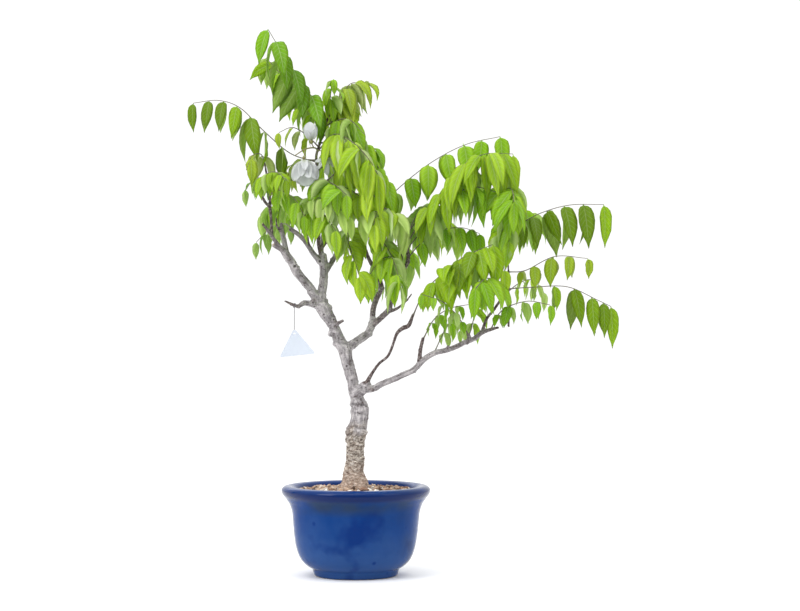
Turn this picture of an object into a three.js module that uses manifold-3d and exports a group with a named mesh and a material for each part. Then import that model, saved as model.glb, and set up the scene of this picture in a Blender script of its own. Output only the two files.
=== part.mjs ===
// Wisteria bonsai in a round glazed pot. Millimetres, +Z up, +X to the right and -Y to the front.
// The tree is laid out round the pot's axis, and the whole group is then moved so that
// the origin is at the bottom centre of its bounding box.
import * as THREE from 'three';
import Module from 'manifold-3d';
import { mergeVertices } from 'three/addons/utils/BufferGeometryUtils.js';

const wasm = await Module();
wasm.setup();

// Driving dimensions
const GAP = 0.3; // between pieces that touch
const PETAL_SMOOTH = 0.05; // finest detail kept where petals run into each other
const BARK_SMOOTH = 0.1; // facets of the bark closer than this become one
const POT_HEIGHT = 127;
const POT_RIM_R = 105.5;
const POT_NECK_R = 91;
const POT_MOUTH_R = 81.8;
const POT_FOOT_R = 57.5;
const POT_FLOOR = 12;
const DRAIN_R = 8;
const ROUND_SEGMENTS = 30;
const SOIL_TOP = 122;
const SOIL_EDGE = 116.5;
const SOIL_GRAIN = 0.9; // height of the grit's relief
const STALK_HALF = 1.25; // half the width of a leaf stalk where it leaves the wood
const STALK_TIP_HALF = 0.85;
const STALK_CORNERS = [[1, 0.6], [0.35, -1], [-0.35, -1], [-1, 0.6]]; // its section, narrow below
const NODE_LENGTH = 2.6; // along the stalk, where a pair of leaflets grows
const MOST_DROOP = 1.36; // in radians below level
const LEAST_OUTWARD = 1.2; // of any corner of a leaflet from the stalk's face it grows from
const BLADE_KEEL = 1.1; // thickness of a leaflet at its midrib
const BARE_STALK = 0.26; // share of a frond's stalk before its first leaflets
const THREAD_D = 0.9;
const TAG_THICK = 0.8;

// Branches: points along the centre line as [x, y, z, radius], with the sides of the tube
const BRANCHES = {
  trunk: [12, [[1, 0, 94, 17], [1, 0, 123, 20.5], [1, 0, 133, 18.5], [-2, 0, 148, 14.3], [-1, 1, 162, 13.4],
    [-1, 2, 177, 12.8], [0, 3, 191, 13], [1, 4, 204, 15.6], [3, 4, 212, 13.2], [5, 5, 222, 12.4], [6, 6, 233, 12.6],
    [5, 6, 240, 11.8], [2, 6, 248, 9.6], [-3, 5, 262, 8.2], [-5, 3, 276, 8.1], [-9, 2, 290, 8.5], [-13, 0, 305, 8.9],
    [-16, -1, 319, 9.9], [-24, -2, 333, 8.9], [-29, -3, 347, 7.6], [-36, -4, 361, 8.7], [-45, -4, 376, 10.6],
    [-51, -4, 388, 9.6]]],
  upright: [8, [[-51, -4, 385, 8.5], [-48, -3, 404, 6.6], [-46, 0, 418, 6.2], [-46, 3, 440, 6], [-47, 5, 456, 4.6]]],
  leader: [5, [[-48, 5, 448, 3.4], [-53, 3, 467, 2.8], [-53, 0, 482, 2.6], [-50, -3, 496, 2.6], [-48, -5, 510, 2.5],
    [-54, -8, 531, 2.3], [-59, -12, 559, 2.2], [-56, -12, 580, 2.1], [-56, -10, 595, 2.1], [-51, -8, 612, 2],
    [-47, -6, 628, 2], [-41, -5, 645, 1.8], [-35, -5, 660, 1.5]]],
  upper_left: [6, [[-47, 3, 440, 4.6], [-60, 0, 455, 3.9], [-72, -6, 473, 3.5], [-82, -9, 483, 3.4],
    [-94, -12, 491, 3.1]]],
  upper_left_twig: [4, [[-66, -4, 464, 2], [-68, -7, 477, 1.6], [-70, -12, 497, 1.2]]],
  cut_top: [6, [[-47, 4, 446, 4], [-50, 10, 464, 3.5], [-49, 14, 476, 3.4], [-47, 16, 484, 3.3]]],
  cut_top_fork: [4, [[-49, 10, 464, 2.4], [-42, 16, 474, 2], [-35, 24, 490, 1.7], [-35, 30, 506, 1.3]]],
  right_stub: [6, [[-46, 2, 426, 4.2], [-33, 12, 447, 3.7], [-25, 18, 466, 3.4]]],
  left_limb: [8, [[-53, -4, 387, 7.8], [-65, -10, 407, 6.4], [-74, -16, 418, 6.2], [-83, -20, 429, 6.3],
    [-89, -24, 441, 6.1], [-98, -28, 454, 5.8], [-102, -30, 461, 4.6]]],
  left_stub: [5, [[-100, -29, 458, 3.6], [-116, -34, 467, 3]]],
  left_cut_twig: [5, [[-101, -30, 458, 3.2], [-111, -36, 470, 2.6], [-119, -40, 482, 2.3], [-130, -44, 496, 1.7]]],
  left_long_twig: [5, [[-117, -39, 477, 2.3], [-118, -38, 501, 2.3], [-120, -36, 520, 2.6], [-120, -34, 532, 2],
    [-124, -28, 558, 1.8], [-128, -22, 581, 1.5]]],
  left_side_twig: [4, [[-120, -36, 519, 2.2], [-128, -42, 529, 2.2], [-136, -46, 545, 1.6]]],
  left_inner: [6, [[-97, -27, 454, 4.4], [-101, -24, 474, 3.8], [-104, -22, 487, 3.2], [-105, -20, 497, 2.8]]],
  left_inner_twig: [4, [[-103, -22, 482, 1.9], [-111, -24, 494, 1.6], [-112, -24, 506, 1.2]]],
  tag_twig: [5, [[-53, -5, 381, 4], [-67, -14, 385, 3.5], [-74, -19, 385, 3.2], [-80, -24, 381, 2.5],
    [-86, -28, 382, 2.1], [-99, -36, 388, 1.2]]],
  mid_limb: [8, [[-17, -1, 319, 8], [-2, 6, 329, 6.2], [8, 11, 336, 6], [17, 15, 343, 5.8], [22, 18, 354, 5.4],
    [24, 20, 363, 4.6]]],
  mid_upright: [6, [[23, 19, 357, 4.4], [24, 22, 376, 4.2], [28, 24, 390, 4.1], [34, 26, 403, 3.9], [35, 28, 413, 3.7],
    [31, 30, 425, 3.4], [24, 31, 438, 3.2], [17, 32, 451, 2.9], [12, 32, 465, 2.6], [6, 32, 476, 2.1]]],
  mid_right: [6, [[20, 17, 351, 4.6], [31, 16, 361, 4.3], [40, 13, 369, 4.2], [47, 10, 377, 4.2], [50, 9, 394, 3.4],
    [54, 8, 416, 3.3], [60, 6, 428, 3.2], [70, 4, 437, 3.1], [74, 2, 448, 3], [73, 0, 462, 2.8], [70, 0, 481, 2.2]]],
  mid_right_twig: [4, [[45, 10, 374, 2.8], [57, 4, 377, 1.8], [70, -4, 387, 1.2], [79, -10, 398, 1]]],
  right_cut: [4, [[60, 6, 428, 2.6], [64, 12, 444, 2.4], [65, 18, 459, 2], [68, 20, 466, 1.6]]],
  right_junction: [7, [[-4, 4, 256, 7.5], [7, -8, 262, 8.5], [14, -14, 268, 7.8], [20, -17, 270, 5.4]]],
  twisted_twig: [5, [[13, -13, 267, 3.6], [20, -20, 281, 2.6], [27, -24, 292, 2], [34, -27, 301, 1.9],
    [43, -30, 308, 1.9], [48, -33, 315, 1.9], [53, -36, 328, 1.9], [58, -38, 342, 2.2], [65, -40, 349, 2.8],
    [74, -42, 353, 2.8], [78, -44, 361, 2.4], [81, -45, 370, 1.6]]],
  right_limb: [7, [[12, -12, 264, 5.8], [26, -20, 265, 4.7], [36, -25, 271, 4.5], [53, -30, 278, 4.4],
    [70, -34, 286, 4.3], [81, -36, 291, 4.3], [90, -38, 300, 4.2], [100, -40, 309, 4], [113, -41, 316, 3.8],
    [127, -42, 319, 3.7], [141, -42, 324, 3.6], [153, -42, 330, 3.6], [166, -40, 335, 3.5], [176, -38, 343, 3.4],
    [186, -36, 347, 2.9], [201, -32, 351, 1.7]]],
  right_spur: [5, [[89, -38, 297, 3.2], [91, -44, 319, 2.8], [95, -48, 337, 2.4]]],
  outer_spur: [4, [[155, -42, 328, 2.8], [159, -46, 336, 2.6], [157, -49, 343, 2]]],
  outer_up: [4, [[176, -38, 341, 2.6], [184, -36, 363, 2.2], [193, -33, 374, 2.1], [200, -30, 384, 2.1],
    [207, -28, 394, 2.1], [215, -25, 403, 2.2], [215, -20, 439, 1.4], [211, -16, 460, 1.3], [208, -12, 481, 1.3],
    [207, -8, 517, 1.2], [204, -5, 539, 1]]],
  outer_down: [4, [[214, -25, 403, 1.8], [216, -28, 389, 1.8], [216, -30, 375, 1.8], [215, -31, 361, 1.9],
    [215, -32, 351, 1.4]]],
};

// Old pruning knobs on the bark: [x, y, z, radius]
const KNOBS = [
  [-38, -4, 341, 6], [-10, -3, 203, 7], [14, 8, 240, 6.5], [-4, -4, 331, 4.5], [22, 15, 340, 4.5],
  [-86, -27, 440, 5], [-57, -10, 383, 5.5], [11, -20, 260, 5.5], [48, 7, 384, 4], [170, -42, 335, 4],
];

// Fronds: name, colour, pairs of leaflets, leaflet length and width, and the route of the stalk
const FRONDS = [
  ['crown_left', 'mid', 6, 58, 20, [[-42, -6, 642], [-53, -18, 663], [-74, -30, 693], [-101, -40, 733],
    [-122, -44, 768]]],
  ['crown_left_rear', 'bright', 4, 46, 17, [[-48, -6, 622], [-69, 20, 665], [-96, 38, 701], [-131, 46, 741]]],
  ['left_arch', 'bright', 6, 60, 23, [[-56, -12, 585], [-93, -20, 597], [-131, -32, 629], [-161, -42, 658],
    [-191, -48, 668], [-226, -50, 664]]],
  ['crown_right', 'olive', 5, 50, 17, [[-40, -5, 648], [-24, 0, 672], [-9, 8, 698], [14, 24, 701]]],
  ['crown_tip', 'mid', 3, 36, 15, [[-35, -5, 659], [-36, -15, 677], [-31, -30, 700]]],
  ['right_shoulder', 'mid', 6, 54, 19, [[-44, -6, 636], [-21, 6, 649], [3, 12, 632], [25, 6, 591], [50, -8, 546]]],
  ['right_shoulder_rear', 'dark', 4, 42, 16, [[-51, -8, 612], [-15, 20, 622], [14, 40, 614], [35, 50, 606]]],
  ['centre_front', 'bright', 5, 64, 21, [[-55, -10, 599], [-31, -40, 621], [-7, -60, 611], [16, -72, 588],
    [32, -80, 562]]],
  ['long_right', 'mid', 7, 46, 19, [[8, 32, 474], [25, 34, 514], [62, 26, 552], [108, 12, 587], [156, 0, 611],
    [204, -12, 621]]],
  ['right_fan', 'bright', 7, 68, 22, [[70, 0, 479], [85, -12, 500], [116, -26, 536], [147, -38, 575],
    [181, -46, 593], [220, -50, 593]]],
  ['right_facing', 'mid', 4, 54, 19, [[204, -5, 536], [213, -34, 546], [218, -66, 541], [219, -96, 523]]],
  ['far_right_upper', 'bright', 5, 64, 23, [[208, -12, 486], [232, -20, 497], [261, -26, 512], [301, -28, 523],
    [349, -26, 524]]],
  ['far_right_mid', 'olive', 4, 40, 17, [[215, -20, 429], [239, -34, 431], [279, -46, 450], [324, -52, 447]]],
  ['far_right_lower', 'bright', 5, 56, 20, [[214, -24, 405], [250, 2, 408], [301, 14, 409], [343, 18, 391],
    [364, 18, 381]]],
  ['far_right_near', 'mid', 4, 36, 16, [[189, -36, 347], [204, -58, 374], [237, -74, 387], [269, -82, 382]]],
  ['low_right', 'bright', 6, 62, 25, [[81, -45, 368], [96, -58, 400], [121, -70, 425], [152, -80, 449],
    [190, -86, 465]]],
  ['spur_back', 'mid', 4, 40, 16, [[95, -48, 335], [111, -24, 363], [134, -4, 378], [163, 10, 384]]],
  ['spur_front', 'dark', 4, 44, 18, [[157, -49, 342], [144, -72, 364], [121, -92, 386], [93, -100, 396]]],
  ['outer_spur_up', 'mid', 4, 38, 15, [[158, -46, 336], [166, -28, 364], [170, -12, 398], [190, 2, 418]]],
  ['pale_drape', 'pale', 5, 42, 14, [[-70, -12, 496], [-70, -40, 521], [-51, -58, 531], [-29, -70, 520],
    [-6, -78, 503]]],
  ['left_low', 'mid', 4, 42, 17, [[-121, -32, 538], [-103, -50, 542], [-82, -66, 527], [-70, -76, 505]]],
  ['centre_low', 'bright', 4, 48, 22, [[6, 32, 475], [-7, 4, 492], [-12, -26, 479], [-4, -52, 453], [7, -68, 422]]],
  ['centre_right', 'mid', 4, 46, 19, [[11, 32, 468], [23, 6, 485], [43, -30, 465], [57, -56, 433], [62, -70, 403]]],
  ['pale_centre', 'pale', 4, 50, 20, [[70, 0, 475], [60, -22, 499], [43, -44, 513], [15, -62, 510]]],
  ['dark_right', 'dark', 4, 46, 18, [[72, 2, 471], [81, 28, 502], [97, 50, 526], [121, 70, 528]]],
  ['low_middle', 'dark', 3, 38, 15, [[55, 8, 420], [45, 34, 426], [36, 56, 420], [27, 74, 405]]],
  ['left_tip', 'olive', 3, 42, 18, [[-128, -22, 580], [-132, -42, 593], [-143, -62, 589], [-150, -78, 568]]],
  ['left_inner', 'olive', 4, 42, 17, [[-56, -11, 588], [-75, 14, 590], [-96, 32, 583], [-117, 46, 572]]],
  ['centre_dark', 'dark', 4, 44, 19, [[-59, -12, 559], [-45, -42, 556], [-29, -70, 549], [-11, -92, 533]]],
  ['rear_left', 'mid', 5, 50, 19, [[-49, -5, 506], [-75, 44, 535], [-108, 94, 538], [-143, 138, 520]]],
  ['rear_upper', 'bright', 5, 50, 19, [[-56, -12, 579], [-37, 36, 606], [-17, 84, 611], [0, 122, 590]]],
  ['rear_middle', 'mid', 5, 52, 19, [[-54, -8, 528], [-39, 44, 561], [-29, 96, 571], [-24, 146, 557]]],
  ['rear_cut_limb', 'dark', 4, 46, 18, [[-90, -11, 489], [-104, 34, 500], [-127, 76, 496], [-150, 110, 477]]],
  ['rear_right', 'mid', 5, 52, 19, [[22, 31, 439], [42, 74, 464], [60, 118, 472], [75, 158, 455]]],
  ['rear_right_high', 'bright', 5, 50, 18, [[72, 0, 462], [97, 48, 492], [124, 92, 509], [149, 128, 499]]],
  ['rear_far_right', 'mid', 5, 50, 18, [[208, -12, 474], [227, 38, 508], [244, 84, 520], [261, 122, 504]]],
  ['rear_low_right', 'mid', 4, 48, 18, [[110, -41, 315], [128, 0, 350], [143, 48, 364], [151, 94, 347]]],
  ['rear_outer', 'bright', 4, 48, 18, [[207, -28, 394], [231, 18, 413], [254, 62, 420], [274, 98, 403]]],
  ['rear_left_twig', 'dark', 4, 44, 17, [[-121, -32, 541], [-134, 14, 561], [-149, 58, 568], [-164, 92, 553]]],
  ['rear_crown', 'olive', 4, 44, 16, [[-41, -5, 645], [-30, 36, 672], [-19, 72, 685], [-8, 100, 677]]],
  ['front_left', 'bright', 4, 46, 18, [[-134, -46, 543], [-125, -78, 560], [-107, -108, 563], [-91, -134, 550]]],
  ['centre_mid', 'mid', 5, 56, 20, [[-58, -12, 562], [-42, -2, 590], [-16, 2, 592], [10, 0, 576], [26, -8, 554]]],
  ['centre_hang', 'bright', 5, 52, 19, [[-54, -8, 530], [-34, -34, 548], [-8, -44, 544], [15, -46, 524],
    [28, -48, 502]]],
  ['left_young', 'olive', 4, 34, 14, [[-52, -9, 606], [-70, -34, 622], [-88, -50, 630], [-106, -58, 622]]],
  ['right_fan_low', 'dark', 5, 46, 18, [[74, 2, 450], [92, -2, 470], [120, -8, 488], [150, -10, 492], [175, -8, 484]]],
  ['front_right', 'mid', 4, 46, 18, [[209, -28, 395], [196, -64, 414], [180, -98, 418], [165, -126, 404]]],
];

// White pea flowers: name, foot of the bloom, where it points, banner length and width
const BLOOMS = [
  ['upper', [-61, -52, 609], [-0.05, -0.15, 1], 25, 20],
  ['lower', [-71, -58, 587], [0.05, -0.3, -1], 33, 28],
  ['side', [-41, -50, 588], [0.1, -0.2, -1], 22, 17],
];
// The flower stalk and its side stalks, as [x, y, z, radius]
const RACEME = [
  [[-56, -11, 590, 1.3], [-54, -28, 600, 1.2], [-58, -46, 602, 1.1], [-70, -54, 599, 0.9], [-84, -56, 590, 0.7]],
  [[-58, -46, 602, 0.8], [-61, -52, 608, 0.8]],
  [[-70, -54, 599, 0.8], [-71, -58, 588, 0.8]],
  [[-54, -29, 600, 0.8], [-45, -42, 597, 0.8], [-41, -50, 589, 0.8]],
];
const CALYX_R = 2.6;
const BLOOM_BASE_R = 2;

// Blank paper tag: corners from its top, with an eye for the thread tied round the left twig
const TIE = { at: [-86, -28, 382], along: [-9.5, -6, 3.5], twigR: 2.1, drop: 31 };
const TAG_CORNERS = [[-2, 0], [2, 0], [28.5, -31], [27.5, -33], [-18.5, -38], [-20, -36.5]];
const TAG_EYE_R = 1.3;

// Ways a leaflet is tried until one is free: [more swing along the stalk, change of droop in radians]
const SWINGS = [[0, 0], [0.25, 0], [-0.25, 0], [0, -0.3], [0, 0.3], [0.45, -0.2], [-0.45, -0.2], [0.45, 0.3],
  [-0.45, 0.3], [0, -0.7], [0.8, -0.4], [-0.8, -0.4]];

const UP = new THREE.Vector3(0, 0, 1);
const point = ([x, y, z]) => new THREE.Vector3(x, y, z);
const curveOf = (points) => new THREE.CatmullRomCurve3(points.map(point), false, 'catmullrom', 0.5);
const mix = (a, b, t) => a + (b - a) * t;

// One seeded stream of numbers from 0 to 1, so that the tree is the same on every run
function randomFrom(seed) {
  let state = seed >>> 0;
  return () => {
    state = (Math.imul(state, 1664525) + 1013904223) >>> 0;
    return state / 4294967296;
  };
}

// Solids and meshes
function solidOf(geometry) {
  geometry.deleteAttribute('normal');
  geometry.deleteAttribute('uv');
  const merged = mergeVertices(geometry, 1e-4);
  const data = { numProp: 3, vertProperties: merged.attributes.position.array, triVerts: merged.index.array };
  return new wasm.Manifold(new wasm.Mesh(data));
}

function geometryOf(solid) {
  const { vertProperties, triVerts } = solid.getMesh();
  const geometry = new THREE.BufferGeometry();
  geometry.setAttribute('position', new THREE.BufferAttribute(vertProperties, 3));
  geometry.setIndex(new THREE.BufferAttribute(triVerts, 1));
  return geometry;
}

// A closed skin over rings of equal length, with an optional point or flat fan at each end
function skinOf(rings, startPoint, endPoint) {
  const sides = rings[0].length;
  const positions = [];
  const faces = [];
  rings.flat().forEach((p) => positions.push(p.x, p.y, p.z));
  for (let r = 0; r + 1 < rings.length; r += 1) {
    for (let k = 0; k < sides; k += 1) {
      const a = r * sides + k;
      const b = r * sides + (k + 1) % sides;
      faces.push(a, b, b + sides, a, b + sides, a + sides);
    }
  }
  const last = (rings.length - 1) * sides;
  const closeEnd = (first, tip, flipped) => {
    const add = (a, b, c) => (flipped ? faces.push(a, c, b) : faces.push(a, b, c));
    if (tip) {
      const apex = positions.length / 3;
      positions.push(tip.x, tip.y, tip.z);
      for (let k = 0; k < sides; k += 1) add(apex, first + k, first + (k + 1) % sides);
    } else {
      for (let k = 1; k + 1 < sides; k += 1) add(first, first + k, first + k + 1);
    }
  };
  closeEnd(0, startPoint, true);
  closeEnd(last, endPoint, false);
  const geometry = new THREE.BufferGeometry();
  geometry.setAttribute('position', new THREE.Float32BufferAttribute(positions, 3));
  geometry.setIndex(faces);
  return geometry;
}

// A tapering branch through points that carry a radius, with steps rings on each stretch
function limb(points, sides, steps, extra = 0, ridge = () => 1) {
  const curve = curveOf(points);
  const count = (points.length - 1) * steps;
  const rings = [];
  let across = new THREE.Vector3(0.31, 0.95, 0.05);
  for (let i = 0; i <= count; i += 1) {
    const t = i / count;
    const centre = curve.getPoint(t);
    const along = curve.getTangent(t);
    across = across.clone().addScaledVector(along, -across.dot(along)).normalize();
    const other = new THREE.Vector3().crossVectors(along, across);
    const at = Math.min(Math.floor(t * (points.length - 1)), points.length - 2);
    const radius = mix(points[at][3], points[at + 1][3], t * (points.length - 1) - at) + extra;
    const ring = [];
    for (let k = 0; k < sides; k += 1) {
      const angle = 2 * Math.PI * k / sides;
      const reach = radius * ridge(angle, centre.z);
      ring.push(centre.clone().addScaledVector(across, reach * Math.cos(angle))
        .addScaledVector(other, reach * Math.sin(angle)));
    }
    rings.push(ring);
  }
  return solidOf(skinOf(rings));
}

// Wood: trunk and branches grown as one body, with a root flare at the soil
function rootRidge(angle, z) {
  const flare = Math.max(0, 1 - Math.abs(z - 126) / 26);
  return 1 + 0.09 * flare * Math.cos(5 * angle + 0.6) + 0.03 * Math.cos(3 * angle + z / 17);
}

function woodSolid(extra) {
  const pieces = Object.entries(BRANCHES).map(([name, [sides, points]]) => (
    limb(points, sides, points.length > 3 ? 1 : 2, extra, name === 'trunk' ? rootRidge : undefined)));
  KNOBS.forEach(([x, y, z, r]) => {
    const knob = new THREE.IcosahedronGeometry(r + extra, 0);
    knob.translate(x, y, z);
    pieces.push(solidOf(knob));
  });
  return wasm.Manifold.union(pieces).simplify(BARK_SMOOTH);
}

// Pot and soil, turned about the pot's axis
function turned(profile) {
  const points = profile.map(([r, z]) => new THREE.Vector2(r, z));
  const geometry = new THREE.LatheGeometry(points, ROUND_SEGMENTS);
  geometry.rotateX(Math.PI / 2);
  return geometry;
}

const POT_INSIDE = [[POT_MOUTH_R, 108], [80.5, 62], [75, 32], [58, POT_FLOOR + 1]];

function potGeometry() {
  return turned([
    [DRAIN_R, 6], [46, 6], [47.5, 0], [POT_FOOT_R, 0], [60.3, 4], [60.5, 10], [63, 12], [74, 20], [82, 34],
    [87, 56], [89.2, 82], [POT_NECK_R, 102], [97, 111.5], [POT_RIM_R, 117.5], [POT_RIM_R - 0.7, 122.5], [94, POT_HEIGHT],
    [84, 119.5], ...POT_INSIDE, [DRAIN_R, POT_FLOOR], [DRAIN_R, 6],
  ]);
}

function soilSolid(woodSkin) {
  const wall = POT_INSIDE.map(([r, z]) => [r - GAP, z]).reverse();
  const geometry = turned([
    [0, POT_FLOOR + GAP], [20, POT_FLOOR + 2 * GAP], ...wall.map(([r, z], i) => [r, i === 0 ? z + GAP : z]),
    [83, SOIL_EDGE], [74, SOIL_EDGE + 2], [56, SOIL_TOP - 2.5], [39, SOIL_TOP - 1], [26, SOIL_TOP],
    [0, SOIL_TOP],
  ]);
  const spots = geometry.attributes.position;
  for (let i = 0; i < spots.count; i += 1) {
    const [x, y, z] = [spots.getX(i), spots.getY(i), spots.getZ(i)];
    const r = Math.hypot(x, y);
    if (z > SOIL_EDGE + 1 && r > 24) spots.setZ(i, z + SOIL_GRAIN * Math.sin(x * 1.7 + 2) * Math.cos(y * 2.3));
  }
  return solidOf(geometry).subtract(woodSkin);
}

// A leaflet is a pointed blade with a keel under its midrib: [share of its length, share of its width]
const BLADE_STATIONS = [[0.27, 1], [0.66, 0.56]];
const PETAL_STATIONS = [[0.22, 0.55], [0.55, 1], [0.88, 0.72]];

function bladePoint(blade, s) {
  return blade.root.clone().addScaledVector(blade.dir, blade.length * s)
    .addScaledVector(blade.face, -blade.bend * blade.length * s * s);
}

function bladeWidth(s) {
  const spots = [[0, 0], ...BLADE_STATIONS, [1, 0]];
  const next = spots.findIndex(([at]) => at >= s && at > 0);
  const [[s0, w0], [s1, w1]] = [spots[next - 1], spots[next]];
  return mix(w0, w1, (s - s0) / (s1 - s0));
}

function bladeSolid(blade, stations = BLADE_STATIONS) {
  const across = new THREE.Vector3().crossVectors(blade.face, blade.dir);
  const rings = stations.map(([s, w]) => {
    const mid = bladePoint(blade, s);
    const half = 0.5 * blade.width * w;
    return [
      mid.clone().addScaledVector(across, -half),
      mid.clone().addScaledVector(blade.face, -BLADE_KEEL),
      mid.clone().addScaledVector(across, half),
    ];
  });
  return solidOf(skinOf(rings, bladePoint(blade, 0), bladePoint(blade, 1)));
}

// Spots on a blade that the other blades keep clear of
function bladeSpots(blade) {
  const across = new THREE.Vector3().crossVectors(blade.face, blade.dir);
  const spots = [];
  [0.2, 0.36, 0.52, 0.68, 0.84, 1].forEach((s) => {
    [-0.7, 0, 0.7].forEach((side) => {
      spots.push(bladePoint(blade, s).addScaledVector(across, side * 0.5 * blade.width * bladeWidth(s)));
    });
  });
  return spots;
}

const SPOT_CLEAR = 7.5; // between two spots on different leaflets
const STALK_CLEAR = 5; // between a spot and a leaf stalk
const WOOD_CLEAR = 4; // between a spot and the bark

function isClear(spots, centre, reach, taken, frond) {
  return !taken.some((other) => {
    if (other.owner === frond && other.isStalk) return false;
    if (other.centre.distanceTo(centre) > reach + other.reach) return false;
    return other.spots.some((spot) => spots.some((mine) => mine.distanceTo(spot) < other.clear));
  });
}

// Frames along a leaf stalk: a ring before and after each node, and the node itself between them
function stalkFrames(frond) {
  const [, , pairs, , , route] = frond;
  const curve = curveOf(route);
  const half = 0.5 * NODE_LENGTH / curve.getLength();
  const places = [[0, 'ring'], [0.5 * BARE_STALK, 'ring']];
  for (let i = 0; i < pairs; i += 1) {
    const t = mix(BARE_STALK, 1, i / pairs);
    places.push([t - half, 'ring'], [t, 'node'], [t + half, 'ring']);
  }
  places.push([1, 'ring']);
  const side = new THREE.Vector3().crossVectors(curve.getTangent(0), UP);
  if (side.length() < 0.25) side.set(0.9, 0.4, 0);
  return places.map(([t, kind]) => {
    const along = curve.getTangent(t);
    side.addScaledVector(along, -side.dot(along)).normalize();
    const above = new THREE.Vector3().crossVectors(side, along);
    const width = mix(STALK_HALF, STALK_TIP_HALF, t);
    return { t, kind, centre: curve.getPoint(t), along, side: side.clone(), above, half: width };
  });
}

// How one leaflet hangs from its node, or from the stalk's end where hand is 0
function hangingBlade(frame, hand, draw, [moreSwing, moreDroop], length, width) {
  const { centre, along, side, above, half } = frame;
  const [[highX, highZ], [lowX, lowZ]] = STALK_CORNERS;
  const root = centre.clone().addScaledVector(side, hand * half * mix(highX, lowX, 0.5))
    .addScaledVector(above, half * mix(highZ, lowZ, 0.5));
  const outward = hand === 0 ? along.clone() : side.clone().multiplyScalar(hand * (highZ - lowZ))
    .addScaledVector(above, lowX - highX).normalize();
  const lean = Math.min(draw.droop + moreDroop, MOST_DROOP);
  const dir = new THREE.Vector3();
  const face = new THREE.Vector3();
  if (hand === 0) {
    dir.copy(along).multiplyScalar(Math.max(0.4, 0.3 + 0.9 * along.z)).addScaledVector(UP, -0.9)
      .addScaledVector(side, draw.swing + moreSwing).normalize();
    face.copy(along).multiplyScalar(0.8).addScaledVector(UP, 0.4);
  } else {
    dir.copy(side).multiplyScalar(hand * Math.cos(lean)).addScaledVector(UP, -Math.sin(lean))
      .addScaledVector(along, 0.15 + draw.swing + moreSwing).normalize();
    face.copy(side).multiplyScalar(hand * Math.sin(lean)).addScaledVector(UP, Math.cos(lean));
  }
  face.addScaledVector(dir, -face.dot(dir)).normalize().applyAxisAngle(dir, draw.twist);
  return { root, outward, dir, face, length, width, bend: draw.bend, hand };
}

// The leaflets of one frond: a pair at each node of the stalk, and one at its end
function growLeaflets(frond, seed, taken) {
  const [name, , pairs, length, width] = frond;
  const random = randomFrom(seed);
  const jitter = (amount) => (random() * 2 - 1) * amount;
  const frames = stalkFrames(frond);
  const nodes = frames.filter((frame) => frame.kind === 'node');
  const places = nodes.flatMap((frame, i) => [[frame, 1, i / pairs], [frame, -1, i / pairs]]);
  places.push([frames[frames.length - 1], 0, 1]);
  const blades = [];
  places.forEach(([frame, hand, share]) => {
    const size = mix(0.82, 1.08, random()) * (0.72 + 0.28 * Math.sin(Math.PI * Math.min(1, share + 0.15)));
    const [swing, droop, twist] = [jitter(0.22), 1.12 + jitter(0.28), jitter(0.5)];
    const draw = { swing, droop, twist, bend: mix(0.04, 0.2, random()) };
    for (const change of SWINGS) {
      const blade = hangingBlade(frame, hand, draw, change, length * size, width * size);
      const spots = bladeSpots(blade);
      const centre = bladePoint(blade, 0.5);
      const reach = 0.6 * blade.length + 8;
      if (isClear(spots, centre, reach, taken, name)) {
        blades.push({ ...blade, frame });
        taken.push({ owner: name, centre, reach, clear: SPOT_CLEAR, spots });
        break;
      }
    }
  });
  return blades;
}

// What the leaflets keep clear of before they are placed: bark and every leaf stalk
function stalkSpots() {
  const taken = [];
  Object.entries(BRANCHES).forEach(([name, [, points]]) => {
    const curve = curveOf(points);
    const count = 8 * (points.length - 1);
    for (let i = 0; i <= count; i += 1) {
      const t = i / count;
      const at = Math.min(Math.floor(t * (points.length - 1)), points.length - 2);
      const radius = mix(points[at][3], points[at + 1][3], t * (points.length - 1) - at);
      const centre = curve.getPoint(t);
      taken.push({ owner: name, centre, reach: radius, clear: radius + WOOD_CLEAR, spots: [centre], isStalk: true });
    }
  });
  FRONDS.forEach(([name, , , , , route]) => {
    const curve = curveOf(route);
    for (let i = 0; i <= 36; i += 1) {
      const centre = curve.getPoint(i / 36);
      taken.push({ owner: name, centre, reach: 1, clear: STALK_CLEAR, spots: [centre], isStalk: true });
    }
  });
  BLOOMS.forEach(([name, foot, aim, length]) => {
    const centre = point(foot).addScaledVector(point(aim).normalize(), length / 2);
    taken.push({ owner: name, centre, reach: length, clear: length / 2 + 9, spots: [centre], isStalk: true });
  });
  RACEME.forEach((points) => {
    curveOf(points).getPoints(12).forEach((centre) => {
      taken.push({ owner: 'raceme', centre, reach: 1, clear: STALK_CLEAR, spots: [centre], isStalk: true });
    });
  });
  return taken;
}

// An eight-sided bead with a corner that points along aim
function beadSolid(radius, centre, aim) {
  const bead = new THREE.OctahedronGeometry(radius, 0);
  bead.applyQuaternion(new THREE.Quaternion().setFromUnitVectors(UP, aim));
  bead.translate(...centre);
  return solidOf(bead);
}

// Raceme: a stalk with a small green cup at each bloom
function racemeSolid(woodSkin) {
  const stalks = RACEME.map((points) => limb(points, 4, 2));
  const cups = BLOOMS.map(([, foot, aim]) => beadSolid(CALYX_R, foot, point(aim).normalize()));
  return wasm.Manifold.union([...stalks, ...cups]).subtract(woodSkin);
}

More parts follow.
